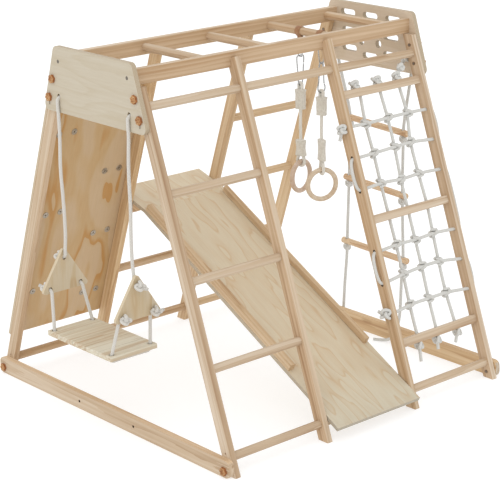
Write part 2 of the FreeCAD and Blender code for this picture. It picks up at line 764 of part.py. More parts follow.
for side in (-1, 1):
    stripHalf = slideHalf - d.strip_inset
    x = stripHalf - d.strip_width if side > 0 else -stripHalf
    foot = bend - boardUp * (d.strip_top_gap + d.strip_length) + alongX * x
    strip = box(f"Strip{side + 1}", "strip_width", "strip_length", "strip_height", foot, boardTurn)
    strips.append(rounded(strip, d.strip_edge_radius, boardUp))
    x = slideHalf - d.cheek_thickness if side > 0 else -slideHalf
    under = rearDowel + flapOut * (dowelRadius + d.running_clearance - d.cheek_height)
    corner = under - flapUp * d.cheek_front + alongX * x
    cheek = box(f"CheekBar{side + 1}", "cheek_thickness", "cheek_front + cheek_rear", "cheek_height",
                corner, flapTurn)
    grasp = "dowel_diameter + 2 * running_clearance"
    through = "cheek_thickness + 2 * overrun"
    begin = rearDowel + alongX * (x - d.overrun)
    seat = rod(f"CheekSeat{side + 1}", grasp, through, begin, alongX)
    corner = begin - flapUp * (dowelRadius + d.running_clearance) - flapOut * d.cheek_height
    mouth = box(f"CheekMouth{side + 1}", through, grasp, "cheek_height", corner, flapTurn)
    corner = under + flapOut * d.cheek_height - flapUp * d.cheek_front - taperOut * d.cheek_height
    taper = box(f"CheekTaper{side + 1}", through, "cheek_front + cheek_rear", "cheek_height",
                corner + alongX * (x - d.overrun), taperTurn)
    cheeks.append(cut(f"Cheek{side + 1}", cheek, [seat, mouth, taper]))
node(group("SlideSideStrips", strips), "slide_side_strips")
node(group("SlideHookCheeks", cheeks), "slide_hook_cheeks")


# ropes knotted inside an end plate, bent down its outer face to the height where they swing
def rim_rise(knot, hole):
    return math.sqrt((knot + d.running_clearance) ** 2 - (hole / 2) ** 2)


def rope_anchors(side, diameter, knot, bend, label):
    hang = side * (plateOutside + d.running_clearance + diameter / 2)
    shapes = []
    for edge in (-1, 1):
        y = edge * d.rope_hole_half_spacing
        knotPlace = Vector(side * (plateInside - rim_rise(knot, d.rope_hole_diameter)), y,
                           d.rope_hole_height)
        route = [knotPlace, Vector(hang, y, d.rope_hole_height),
                 Vector(hang, y, d.plate_bottom + d.hinge_gap)]
        stub = tube(f"{label} {edge}", route, diameter, bend)
        shapes.append(stub.fuse(Part.makeSphere(knot, knotPlace, alongX)))
    node(solid(label.title().replace("_", ""), Part.makeCompound(shapes)), label)
    return hang


swingX = rope_anchors(-1, d.swing_rope_diameter, d.swing_knot_radius, d.swing_rope_bend,
                      "swing_rope_anchors")
ladderX = rope_anchors(1, d.ladder_rope_diameter, d.ladder_knot_radius, d.ladder_rope_bend,
                       "ladder_rope_anchors")

# swing: ropes, triangle plates, bridles under the seat
swingRadius = d.swing_rope_diameter / 2
swingPivot = d.plate_bottom - swingRadius
triangleFace = d.rope_hole_half_spacing + swingRadius + d.running_clearance
triangleBack = triangleFace + d.triangle_thickness
apexHole = d.triangle_top - d.apex_hole_drop
cornerHole = d.triangle_top - d.triangle_height + d.corner_hole_rise
knotY = triangleBack + rim_rise(d.swing_knot_radius, d.triangle_hole_diameter)
ropes = []
bridles = []
underSeat = d.seat_top - d.seat_thickness - d.running_clearance - swingRadius
holeAcross = d.seat_width / 2 - d.seat_hole_inset_across
holeAlong = d.seat_length / 2 - d.seat_hole_inset_along
for edge in (-1, 1):
    start = Vector(swingX, edge * d.rope_hole_half_spacing, swingPivot)
    corner = Vector(swingX, edge * d.rope_hole_half_spacing, apexHole)
    end = Vector(swingX, edge * knotY, apexHole)
    hanging = tube(f"swing rope {edge}", [start, corner, end], d.swing_rope_diameter, d.swing_rope_bend)
    hanging = hanging.fuse([Part.makeSphere(swingRadius, start),
                            Part.makeSphere(d.swing_knot_radius, end, alongY)])
    ropes.append(hanging)
    half = []
    for reach in (-1, 1):
        across = swingX + reach * d.corner_hole_half_spacing
        corner = Vector(across, edge * d.rope_hole_half_spacing, cornerHole)
        through = Vector(swingX + reach * holeAcross, edge * holeAlong, d.seat_top - d.seat_thickness / 2)
        slant = through - corner
        half.append([Vector(across, edge * knotY, cornerHole), corner,
                     corner + slant * ((underSeat - corner.z) / slant.z)])
    route = half[0] + half[1][::-1]
    bridle = tube(f"swing bridle {edge}", route, d.swing_rope_diameter, d.swing_rope_bend)
    knots = [Part.makeSphere(d.swing_knot_radius, point, alongY) for point in (route[0], route[-1])]
    bridles.append(bridle.fuse(knots))
node(solid("SwingRopes", Part.makeCompound(ropes)), "swing_ropes")
node(solid("SwingBridles", Part.makeCompound(bridles)), "swing_bridles")

triangles = []
for edge in (-1, 1):
    name = f"Triangle{edge + 1}"
    body = doc.addObject("PartDesign::Body", name + "Body")
    sketch = body.newObject("Sketcher::SketchObject", name + "Sketch")
    plane = [part for part in body.Origin.OriginFeatures if part.Role == "XZ_Plane"][0]
    sketch.AttachmentSupport = [(plane, "")]
    sketch.MapMode = "FlatFace"
    low = d.triangle_top - d.triangle_height
    corners = [Vector(-d.triangle_half_base, low, 0), Vector(d.triangle_half_base, low, 0),
               Vector(0, d.triangle_top, 0)]
    low = "triangle_top - triangle_height"
    bound = [("-triangle_half_base", low), ("triangle_half_base", low), ("0", "triangle_top")]
    pinned_outline(sketch, corners, bound)
    pad = body.newObject("PartDesign::Pad", name + "Pad")
    pad.Profile = sketch
    pad.setExpression("Length", ex("triangle_thickness"))
    pad.Reversed = edge > 0
    body.Placement = Placement(Vector(swingX, edge * triangleFace, 0), Rotation())
    board = rounded(body, d.triangle_corner, alongY)
    tools = []
    for number, (x, z) in enumerate(((0, apexHole), (-d.corner_hole_half_spacing, cornerHole),
                                     (d.corner_hole_half_spacing, cornerHole))):
        start = Vector(swingX + x, edge * (triangleFace - d.overrun), z)
        tools.append(rod(f"{name}Hole{number}", "triangle_hole_diameter", "triangle_thickness + 2 * overrun",
                         start, alongY * edge))
    triangles.append(cut(name, board, tools))
node(group("SwingTriangles", triangles), "swing_triangles")

planks = []
plankWide = f"(seat_length - {plankCount - 1} * plank_gap) / {plankCount}"
plankPitch = (d.seat_length + d.plank_gap) / plankCount
for step in range(plankCount):
    corner = Vector(swingX - d.seat_width / 2, step * plankPitch - d.seat_length / 2,
                    d.seat_top - d.seat_thickness)
    plank = box(f"Plank{step}", "seat_width", plankWide, "seat_thickness", corner)
    plank = rounded(plank, d.plank_edge_radius, alongX)
    edge = {0: -1, plankCount - 1: 1}.get(step)
    if edge:
        tools = []
        for reach in (-1, 1):
            start = Vector(swingX + reach * holeAcross, edge * holeAlong, corner.z - d.overrun)
            tools.append(rod(f"PlankHole{step}{reach + 1}", "seat_hole_diameter",
                             "seat_thickness + 2 * overrun", start, alongZ))
        plank = cut(f"PlankDrilled{step}", plank, tools)
    planks.append(plank)
node(group("SwingSeatPlanks", planks), "swing_seat_planks")
battens = []
for reach in (-1, 1):
    middle = swingX + reach * (d.seat_width / 2 - d.batten_inset)
    corner = Vector(middle - d.batten_width / 2, d.batten_end_gap - d.seat_length / 2,
                    d.seat_top - d.seat_thickness - d.batten_thickness)
    batten = box(f"Batten{reach + 1}", "batten_width", "seat_length - 2 * batten_end_gap",
                 "batten_thickness", corner)
    battens.append(rounded(batten, d.plank_edge_radius, alongY))
node(group("SwingSeatBattens", battens), "swing_seat_battens")


# gym rings: strap on the bar, link, snap hook with a sprung gate, rope with sewn sleeves, wooden ring
def ring_set(number, place, drop, turn):
    x = barPlaces[3]
    strapLow = barHeight - d.strap_drop - drop
    wireHole = d.link_wire / 2 + d.running_clearance
    band = d.strap_thickness
    width = d.strap_width
    base = Vector(x, place - width / 2, barHeight)
    low = Vector(x, place - width / 2, strapLow)
    around = dowelRadius + d.running_clearance
    outer = Part.makeCylinder(around + band, width, base, alongY)
    eyelet = Part.makeCylinder(wireHole + band, width, low, alongY)
    web = Part.makeBox(2 * band, width, barHeight - strapLow, low - alongX * band)
    strap = outer.fuse([eyelet, web]).removeSplitter()
    strap = strap.cut(Part.makeCylinder(around, width, base, alongY))
    strap = strap.cut(Part.makeCylinder(wireHole, width, low, alongY))
    node(solid(f"RingStrap{number}", strap), f"ring_strap_{number}")

    half = d.link_width / 2
    foot = d.link_foot_width / 2
    linkLow = strapLow - d.link_height
    loop = [Vector(x, place - half, strapLow), Vector(x, place + half, strapLow),
            Vector(x, place + foot, linkLow), Vector(x, place - foot, linkLow)]
    node(solid(f"RingLink{number}", tube(f"ring link {number}", loop, d.link_wire, d.link_corner, True)),
         f"ring_link_{number}")

    hookTop = linkLow + (d.link_wire + d.hook_wire) / 2 + d.running_clearance
    hookLow = hookTop - d.hook_height
    bow = d.hook_width / 2
    gateLow = (hookTop + hookLow) / 2 - d.gate_length / 2
    gateHigh = gateLow + d.gate_length
    gateX = x + bow
    bends = [(gateX, gateHigh), (gateX, hookTop), (x - bow, hookTop), (x - bow, hookLow), (gateX, hookLow),
             (gateX, gateLow)]
    hook = tube(f"snap hook {number}", [Vector(along, place, up) for along, up in bends], d.hook_wire,
                bow - d.running_clearance / 2)
    node(solid(f"SnapHook{number}", hook), f"snap_hook_{number}")
    wire = d.hook_wire / 2
    gateStart = Vector(gateX, place, gateLow + wire + d.gate_gap)
    gateRun = d.gate_length - 2 * (wire + d.gate_gap)
    gate = Part.makeCylinder(wire, gateRun, gateStart, alongZ)
    gate = gate.fuse([Part.makeSphere(wire, gateStart), Part.makeSphere(wire, gateStart + alongZ * gateRun)])
    node(solid(f"HookGate{number}", gate.removeSplitter()), f"hook_gate_{number}")

    ropeRadius = d.ring_rope_diameter / 2
    eye = wire + ropeRadius + d.eye_clearance
    sleeveTop = hookLow - d.upper_eye_leg
    runTop = sleeveTop - d.upper_sleeve_length
    runLow = runTop - d.ring_rope_run
    sleeveLow = runLow - d.lower_sleeve_length
    ringTop = sleeveLow - d.lower_eye_leg
    facing = Rotation(alongZ, turn)
    tangent = facing.multVec(alongX)
    normal = facing.multVec(alongY)
    centre = Vector(x, place, 0)

    def eye_loop(level, leg, radius, direction, up):
        middle = Vector(x, place, level)
        arch = Part.makeTorus(radius, ropeRadius, middle, direction.cross(alongZ), 0, 360, 360)
        keep = Part.makeBox(4 * radius, 4 * radius, 2 * radius)
        low = level if up > 0 else level - 2 * radius
        keep.Placement = Placement(Vector(x - 2 * radius, place - 2 * radius, low), Rotation())
        legs = [Part.makeCylinder(ropeRadius, leg, middle + direction * radius * edge, alongZ * -up)
                for edge in (-1, 1)]
        return [arch.common(keep)] + legs

    def sleeve(low, length, direction):
        block = Part.makeBox(d.sleeve_width, d.sleeve_thickness, length)
        block = block.makeFillet(d.sleeve_edge_radius, block.Edges)
        block.Placement = Placement(Vector(0, 0, 0), Rotation(alongX, direction))
        middle = block.BoundBox.Center
        block.translate(Vector(x, place, low + length / 2) - middle)
        return block

    lowEye = d.gym_ring_tube / 2 + ropeRadius + d.eye_clearance
    pieces = eye_loop(hookLow, d.upper_eye_leg + d.sleeve_edge_radius, eye, alongY, 1)
    pieces += eye_loop(ringTop, d.lower_eye_leg + d.sleeve_edge_radius, lowEye, normal, -1)
    twisted = Rotation(alongZ, sleeveTurn).multVec(alongY)
    pieces.append(sleeve(runTop, d.upper_sleeve_length, twisted))
    pieces.append(sleeve(runLow - d.lower_sleeve_length, d.lower_sleeve_length, normal))
    pieces.append(Part.makeCylinder(ropeRadius, d.ring_rope_run + 2 * d.sleeve_edge_radius,
                                    centre + alongZ * (runLow - d.sleeve_edge_radius), alongZ))
    rope = pieces[0].fuse(pieces[1:])
    node(solid(f"RingRope{number}", rope), f"ring_rope_{number}")
    ringRadius = (d.gym_ring_diameter - d.gym_ring_tube) / 2
    ring = doc.addObject("Part::Torus", f"GymRing{number}")
    ring.setExpression("Radius1", ex("(gym_ring_diameter - gym_ring_tube) / 2"))
    ring.setExpression("Radius2", ex("gym_ring_tube / 2"))
    ring.Placement = Placement(centre + alongZ * (ringTop - ringRadius), Rotation(alongZ, normal))
    node(ring, f"gym_ring_{number}")
    print("ring set", number, "hinge", x, place, barHeight, "gate", tuple(gateStart), "ring top", ringTop,
          "tangent", tuple(tangent))


ring_set(1, d.ring_rear_place, 0, ringTurnRear)
ring_set(2, -d.ring_front_place, d.ring_front_drop, ringTurnFront)

# rope ladder: two ropes through three rungs, knotted under each, with tails to the floor
ladderRadius = d.ladder_rope_diameter / 2
ladderPivot = d.plate_bottom - ladderRadius
rungPlaces = [(d.ladder_high_reach, d.ladder_high, d.ladder_high_skew),
              (d.ladder_mid_reach, d.ladder_mid, d.ladder_mid_skew),
              (d.ladder_low_reach, d.ladder_low, d.ladder_low_skew)]
ladderRungs = []
for number, (x, z, skew) in enumerate(rungPlaces):
    axis = Vector(skew, d.ladder_rope_half_spacing, 0)
    axis.normalize()
    reach = d.ladder_rope_half_spacing + d.ladder_rung_overhang
    bar = rod(f"LadderBar{number}", "ladder_rung_diameter",
              "2 * (ladder_rope_half_spacing + ladder_rung_overhang)", Vector(x, 0, z) - axis * reach, axis)
    bar = softened(bar, d.ladder_rung_edge, lambda edge: isinstance(edge.Curve, Part.Circle))
    tools = []
    for edge in (-1, 1):
        start = Vector(x + edge * skew, edge * d.ladder_rope_half_spacing, z - d.ladder_rung_diameter)
        tools.append(rod(f"LadderHole{number}{edge + 1}", "ladder_rung_hole", "2 * ladder_rung_diameter",
                         start, alongZ))
    ladderRungs.append(cut(f"LadderRung{number}", bar, tools))
node(group("LadderRungs", ladderRungs), "ladder_rungs")
tailReach = {
    -1: [(650, -171, 276), (637, -181, 216), (630, -186, 157), (628, -181, 101), (626, -166, 50),
         (621, -144, 17), (609, -118, 6), (592, -78, 5.4)],
    1: [(688, 171, 276), (687, 176, 216), (685, 180, 157), (684, 183, 101), (686, 188, 50),
        (696, 198, 17), (716, 214, 6), (748, 226, 5.4)],
}
knotDrop = d.ladder_rung_diameter / 2 + rim_rise(d.ladder_knot_radius, d.ladder_rung_hole)
ladderRopes = []
ladderTails = []
for edge in (-1, 1):
    route = [Vector(ladderX, edge * d.rope_hole_half_spacing, ladderPivot)]
    for x, z, skew in rungPlaces:
        route.append(Vector(x + edge * skew, edge * d.ladder_rope_half_spacing, z))
    route.append(route[-1] - alongZ * knotDrop)
    rope = tube(f"ladder rope {edge}", route, d.ladder_rope_diameter, d.ladder_rung_diameter)
    knots = [Part.makeSphere(d.ladder_knot_radius, point + (after - point).normalize() * knotDrop)
             for point, after in zip(route[1:-1], route[2:])]
    rope = rope.fuse(knots + [Part.makeSphere(ladderRadius, route[0])])
    ladderRopes.append(rope)
    points = [Vector(*point) for point in tailReach[edge]]
    away = (points[0] - route[-1]).normalize()
    points.insert(0, route[-1] + away * (d.ladder_knot_radius + d.running_clearance))
    ladderTails.append(tube(f"ladder tail {edge}", points, d.ladder_rope_diameter))
node(solid("LadderRopes", Part.makeCompound(ladderRopes)), "ladder_ropes")
node(solid("LadderRopeTails", Part.makeCompound(ladderTails)), "ladder_rope_tails")

# climbing net: three uprights through the slats and one rope laced across them through the legs
uprights = []
legUp = lean_turn(-1).multVec(alongZ)
slatRise = d.slat_height / 2 + d.net_knot_radius + d.running_clearance
for number, x in enumerate(uprightPlaces):
    topY, topZ = tilted(-1, slatHeights[2], -ropeShift, slatRise)
    lowY, lowZ = tilted(-1, slatHeights[0], -ropeShift, -slatRise)
    top = Vector(x, topY, topZ)
    low = Vector(x, lowY, lowZ)
    start = low - legUp * d.net_tail
    reach = (top - start).Length + d.net_top_stub
    rope = Part.makeCylinder(d.net_rope_diameter / 2, reach, start, legUp)
    uprights.append(rope.fuse([Part.makeSphere(d.net_knot_radius, point) for point in (top, low)]))
node(solid("NetUprights", Part.makeCompound(uprights)), "net_uprights")
faceGap = d.net_rope_diameter / 2 + d.running_clearance
laceLeft = innerLeg - d.leg_thickness / 2 - faceGap
laceRight = outerLeg + d.leg_thickness / 2 + faceGap
knotX = innerLeg - d.leg_thickness / 2 - d.net_knot_radius - d.running_clearance
rows = [tilted(-1, z, ropeShift, 0) for z in sorted(netRows, reverse=True)]
lace = [Vector(knotX, *rows[0])]
for number, (y, z) in enumerate(rows):
    ends = [laceLeft, laceRight] if number % 2 == 0 else [laceRight, laceLeft]
    if number > 0:
        lace.append(Vector(ends[0], y, z))
    if number < len(rows) - 1:
        lace.append(Vector(ends[1], y, z))
lace.append(Vector(knotX, *rows[-1]))
lacing = tube("net lacing", lace, d.net_rope_diameter, d.net_rope_bend)
lacing = lacing.fuse([Part.makeSphere(d.net_knot_radius, point, alongX) for point in (lace[0], lace[-1])])
node(solid("NetLacing", lacing), "net_lacing")

doc.recompute()
for piece in doc.Objects:
    if "Invalid" in piece.State or "Error" in piece.State:
        raise RuntimeError(f"{piece.Label} failed: {piece.State}")
for piece in nodes:
    if piece.Shape.isNull() or not piece.Shape.isValid():
        raise RuntimeError(f"{piece.Label} has no valid shape")
print(len(nodes), "nodes")
os.makedirs("parts", exist_ok=True)
for piece in nodes:
    piece.Shape.exportStep(f"parts/{piece.Label}.step")
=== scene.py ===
import math

import bmesh
import bpy
from mathutils import Matrix, Vector

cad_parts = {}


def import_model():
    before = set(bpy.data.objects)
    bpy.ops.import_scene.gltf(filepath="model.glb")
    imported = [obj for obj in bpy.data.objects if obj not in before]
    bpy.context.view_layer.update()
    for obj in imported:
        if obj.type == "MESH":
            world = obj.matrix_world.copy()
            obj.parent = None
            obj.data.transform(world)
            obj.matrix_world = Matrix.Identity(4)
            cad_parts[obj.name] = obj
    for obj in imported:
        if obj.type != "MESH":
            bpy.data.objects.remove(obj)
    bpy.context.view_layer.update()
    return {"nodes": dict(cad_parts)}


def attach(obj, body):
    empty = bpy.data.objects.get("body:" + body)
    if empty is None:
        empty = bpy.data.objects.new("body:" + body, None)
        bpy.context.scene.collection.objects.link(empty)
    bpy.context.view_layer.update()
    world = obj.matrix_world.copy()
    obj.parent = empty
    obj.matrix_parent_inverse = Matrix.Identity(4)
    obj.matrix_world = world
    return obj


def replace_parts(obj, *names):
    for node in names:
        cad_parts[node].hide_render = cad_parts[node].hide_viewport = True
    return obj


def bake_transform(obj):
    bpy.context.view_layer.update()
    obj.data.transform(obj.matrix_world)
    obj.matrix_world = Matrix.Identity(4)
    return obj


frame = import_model()
nodes = frame["nodes"]
scene = bpy.context.scene
scene.view_settings.view_transform = "Standard"
print("frame loaded:", len(nodes), "nodes")


def axes(first, second, third):
    return Matrix((first, second, third)).transposed().to_4x4()


# camera at the photograph's angle
shot = {
    "place": (-4.0288, -4.6684, 2.4479),
    "ahead": (0.6246, 0.7198, -0.3029),
    "up": (0.2114, 0.2175, 0.9528),
    "lens": 126.476,
    "sensor": 36,
    "farthest": 60,
}
cameraData = bpy.data.cameras.new("photoCamera")
cameraData.lens = shot["lens"]
cameraData.sensor_width = shot["sensor"]
cameraData.clip_end = shot["farthest"]
camera = bpy.data.objects.new("photoCamera", cameraData)
ahead = Vector(shot["ahead"]).normalized()
right = ahead.cross(Vector(shot["up"])).normalized()
camera.matrix_world = Matrix.Translation(shot["place"]) @ axes(right, right.cross(ahead), -ahead)
scene.collection.objects.link(camera)
scene.camera = camera


# shader building blocks
def put(tree, kind, sockets, **settings):
    made = tree.nodes.new("ShaderNode" + kind)
    for key, value in settings.items():
        setattr(made, key, value)
    for key, value in sockets.items():
        if isinstance(value, bpy.types.NodeSocket):
            tree.links.new(value, made.inputs[key])
        else:
            made.inputs[key].default_value = value
    return made


def sums(tree, operation, first, second=0.0):
    return put(tree, "Math", {0: first, 1: second}, operation=operation).outputs[0]


def times(tree, first, second):
    return sums(tree, "MULTIPLY", first, second)


def plus(tree, first, second):
    return sums(tree, "ADD", first, second)


def spread(tree, value, low, high):
    return put(tree, "MapRange", {"Value": value, "To Min": low, "To Max": high}).outputs[0]


def fading(tree, value, low, high):
    limits = {"Value": value, "From Min": low, "From Max": high, "To Min": 1.0, "To Max": 0.0}
    return put(tree, "MapRange", limits).outputs[0]


def spotOn(tree, kind="Object"):
    return put(tree, "TexCoord", {}).outputs[kind]


def stretched(tree, spot, scale, shift=(0, 0, 0)):
    return put(tree, "Mapping", {"Vector": spot, "Location": shift, "Scale": scale}).outputs[0]


def rotated(tree, spot, angles, kind="POINT"):
    return put(tree, "Mapping", {"Vector": spot, "Rotation": angles}, vector_type=kind).outputs[0]


def cloudy(tree, spot, scale, detail, roughness=0.5):
    sockets = {"Vector": spot, "Scale": scale, "Detail": detail, "Roughness": roughness}
    return put(tree, "TexNoise", sockets).outputs[0]


def alongAxis(tree, vector, axis):
    return put(tree, "SeparateXYZ", {0: vector}).outputs[axis]


def tint(hexCode):
    parts = [int(hexCode[k:k + 2], 16) / 255 for k in (0, 2, 4)]
    return (*[part / 12.92 if part <= 0.04045 else ((part + 0.055) / 1.055) ** 2.4 for part in parts], 1)


def ramp(tree, value, stops):
    made = put(tree, "ValToRGB", {"Fac": value})
    band = made.color_ramp.elements
    while len(band) < len(stops):
        band.new(0.5)
    for stop, (place, shade) in zip(band, stops):
        stop.position = place
        stop.color = tint(shade) if isinstance(shade, str) else (shade, shade, shade, 1)
    return made.outputs[0]


def threeTones(tree, value, stops, wood):
    return ramp(tree, value, list(zip(stops, (wood["light"], wood["mid"], wood["dark"]))))


def blended(tree, factor, first, second, mode="MIX"):
    made = put(tree, "Mix", {0: factor, 6: first, 7: second}, data_type="RGBA", blend_type=mode)
    return made.outputs[2]


def toned(tree, shade, value):
    grey = put(tree, "CombineXYZ", {0: value, 1: value, 2: value}).outputs[0]
    return blended(tree, 1.0, shade, grey, "MULTIPLY")


def bare(name, roughness, **finish):
    material = bpy.data.materials.new(name)
    material.use_nodes = True
    tree = material.node_tree
    tree.nodes.clear()
    surface = put(tree, "BsdfPrincipled", {"Roughness": roughness})
    for key, value in finish.items():
        surface.inputs[key.replace("_", " ")].default_value = value
    output = tree.nodes.new("ShaderNodeOutputMaterial")
    tree.links.new(surface.outputs[0], output.inputs[0])
    return material, tree, surface


def raised(tree, surface, height, strength, distance):
    bump = put(tree, "Bump", {"Height": height, "Strength": strength, "Distance": distance})
    tree.links.new(bump.outputs[0], surface.inputs["Normal"])


def shaded(base, light, mid, dark, **others):
    return {**base, "light": light, "mid": mid, "dark": dark, **others}


# white braided rope: the tube's own UV runs along in metres and once around
cordage = {"strands": 8, "pitch": 0.0105, "fluff": 900.0, "fluffShare": 0.35, "stops": (0.05, 0.4, 0.9),
           "relief": (0.55, 0.001), "light": "d4d3ce", "mid": "c8c7c2", "dark": "b1b0a9"}
# a darker copy of the rope, painted shade for the swing ropes
shadedSwingCordage = shaded(cordage, "d9d6cf", "cac6be", "a5a19a")
# a lighter copy, painted light for the ring ropes
litRingCordage = shaded(cordage, "e4e1d8", "d9d5cb", "c2bdb1")


def braid(name, lay):
    material, tree, surface = bare(name, 0.82, Sheen_Weight=0.25, Sheen_Roughness=0.5)
    line = spotOn(tree, "UV")
    along = times(tree, alongAxis(tree, line, 0), math.pi / lay["pitch"])
    around = times(tree, alongAxis(tree, line, 1), math.pi * lay["strands"])
    leftLay = sums(tree, "SINE", plus(tree, along, around))
    rightLay = sums(tree, "SINE", sums(tree, "SUBTRACT", along, around))
    weave = sums(tree, "ABSOLUTE", times(tree, leftLay, rightLay))
    fluff = cloudy(tree, spotOn(tree), lay["fluff"], 3.0)
    soft = plus(tree, weave, times(tree, fluff, lay["fluffShare"]))
    shade = ramp(tree, soft, list(zip(lay["stops"], (lay["dark"], lay["mid"], lay["light"]))))
    tree.links.new(shade, surface.inputs["Base Color"])
    raised(tree, surface, soft, *lay["relief"])
    return material


whiteRope = braid("white_braided_rope", cordage)
shadedSwingBraid = braid("swing_rope_painted_shade", shadedSwingCordage)
litRingBraid = braid("ring_rope_painted_light", litRingCordage)


# a finished mesh becomes a piece that rides on its body
def stand(mesh, name, body, material, smooth=True):
    piece = bpy.data.objects.new(name, mesh)
    scene.collection.objects.link(piece)
    mesh.materials.clear()
    mesh.materials.append(material)
    for face in mesh.polygons:
        face.use_smooth = smooth
    if body:
        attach(piece, body)
    return piece


def meshOf(bm, name):
    mesh = bpy.data.meshes.new(name)
    bm.to_mesh(mesh)
    bm.free()
    return mesh


def gathered(target, bm, matrix):
    bmesh.ops.transform(bm, matrix=matrix, verts=bm.verts)
    part = meshOf(bm, "loosePart")
    target.from_mesh(part)
    bpy.data.meshes.remove(part)


def rounded(bm, edges, size, segments):
    bmesh.ops.bevel(bm, geom=edges, offset=size, segments=segments, profile=0.5, affect="EDGES",
                    material=-1)


# ropes are drawn as splines through their route, then made tubes
ropeShape = {"steps": 10, "sides": 4, "knotSteps": 6, "knotSides": 3, "knotTurn": 9}


def strand(curve, points, closed=False):
    spline = curve.splines.new("NURBS")
    spline.points.add(len(points) - 1)
    for spot, place in zip(spline.points, points):
        spot.co = (*place, 1)
    spline.order_u = 3
    if closed:
        spline.use_cyclic_u = True
    else:
        spline.use_endpoint_u = True


def lineCurve(name, steps):
    curve = bpy.data.curves.new(name, "CURVE")
    curve.dimensions = "3D"
    curve.resolution_u = steps
    return curve


def asMesh(curve):
    carrier = bpy.data.objects.new(curve.name, curve)
    mesh = bpy.data.meshes.new_from_object(carrier)
    bpy.data.objects.remove(carrier)
    return mesh


def roundTube(curve, diameter, sides):
    curve.bevel_depth = diameter / 2
    curve.bevel_resolution = sides
    curve.use_fill_caps = True
    return asMesh(curve)


def metred(mesh, steps):
    marks = mesh.uv_layers[0].data  # the tube's first coordinate counts points along the line
    for face in mesh.polygons:
        if len(face.vertices) < 4:
            continue
        for loop in face.loop_indices:
            spot = marks[loop].uv[0] * (len(steps) - 1)
            low = min(int(spot), len(steps) - 2)
            marks[loop].uv[0] = steps[low] + (spot - low) * (steps[low + 1] - steps[low])


def ropeTube(name, route, diameter, body, material=whiteRope):
    curve = lineCurve(name, ropeShape["steps"])
    strand(curve, route)
    path = [vertex.co.copy() for vertex in asMesh(curve).vertices]
    steps = [0.0]
    for here, there in zip(path, path[1:]):
        steps.append(steps[-1] + (there - here).length)
    mesh = roundTube(curve, diameter, ropeShape["sides"])
    metred(mesh, steps)
    mesh.name = name
    piece = stand(mesh, name, body, material)
    return piece, path, steps[-1]


def across(direction):
    axis = Vector(direction).normalized()
    side = axis.cross(Vector((0, 0, 1)) if abs(axis.z) < 0.9 else Vector((1, 0, 0))).normalized()
    return side, axis.cross(side), axis


# overhand knot: a tight trefoil turn round the rope with a loose end
knotShape = {"turns": 20, "squash": 0.85, "tailBow": 0.25}


def knotted(curve, place, axis, size, tail=None, roll=0.0):
    side, other, axis = across(axis)
    place = Vector(place)
    loop = []
    for step in range(knotShape["turns"]):
        t = roll + 2 * math.pi * step / knotShape["turns"]
        bow = (math.sin(t) + 2 * math.sin(2 * t)) / 3, (math.cos(t) - 2 * math.cos(2 * t)) / 3
        rise = -math.sin(3 * t) * knotShape["squash"]
        loop.append(place + size * (side * bow[0] + other * bow[1] + axis * rise))
    strand(curve, loop, closed=True)
    if tail:
        end = place + Vector(tail)
        bent = place.lerp(end, 0.45) + other * size * knotShape["tailBow"]
        strand(curve, [place, bent, place.lerp(end, 0.8), end])


def thick(curve, name, diameter, body, material=whiteRope):
    mesh = roundTube(curve, diameter, ropeShape["knotSides"])
    metred(mesh, [0.0, ropeShape["knotTurn"] * diameter])
    mesh.name = name
    return stand(mesh, name, body, material)


def knotPiece(name, knots, diameter, body, material=whiteRope):
    curve = lineCurve(name, ropeShape["knotSteps"])
    for knot in knots:
        knotted(curve, **knot)
    return thick(curve, name, diameter, body, material)


# rope holes in the two end plates, and two heights a little below them
plateHole = {"y": 0.197, "z": 1.141, "bendTop": 1.094, "bendLow": 1.062}
bothEdges = (("front", -1), ("rear", 1))

# swing ropes: knot inside the plate, out through its hole, down to the triangle
swingRope = {"diameter": 0.012, "x": -0.6663, "inner": -0.6318, "innerKnot": -0.6234, "knot": 0.0148,
             "apex": 0.562, "corner": 0.458, "cornerOut": 0.065, "outer": 0.2255, "outerKnot": 0.2317}
swingSlack = {
    "front": [(-0.197, 1.107), (-0.199, 1.066), (-0.192, 0.99), (-0.191, 0.91), (-0.195, 0.83),
              (-0.19, 0.74), (-0.19, 0.65), (-0.197, 0.592)],
    "rear": [(0.197, 1.107), (0.194, 1.066), (0.194, 0.985), (0.201, 0.885), (0.193, 0.795),
             (0.189, 0.7), (0.19, 0.63), (0.197, 0.592)],
}
x = swingRope["x"]
for name, edge in bothEdges:
    y = edge * plateHole["y"]
    route = [(swingRope["inner"], y, plateHole["z"]), (x, y, plateHole["z"])]
    route += [(x, *spot) for spot in swingSlack[name]]
    route += [(x, y, swingRope["apex"]), (x, edge * swingRope["outer"], swingRope["apex"])]
    rope, path, length = ropeTube(f"swing_rope_{name}", route, swingRope["diameter"], None, shadedSwingBraid)
    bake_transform(rope)
    inner = knotPiece(f"swing_plate_knot_{name}", [{
        "place": (swingRope["innerKnot"], y, plateHole["z"]), "axis": (1, 0, 0), "size": swingRope["knot"],
        "tail": (0.028, edge * 0.006, -0.02)}], swingRope["diameter"], "frame", shadedSwingBraid)
    outer = knotPiece(f"swing_apex_knot_{name}", [{
        "place": (x, edge * swingRope["outerKnot"], swingRope["apex"]), "axis": (0, edge, 0),
        "size": swingRope["knot"], "tail": (0.016, edge * 0.022, -0.01), "roll": 0.6}],
        swingRope["diameter"], "swing", shadedSwingBraid)
    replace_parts(rope, "swing_ropes")
    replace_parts(inner, "swing_rope_anchors")

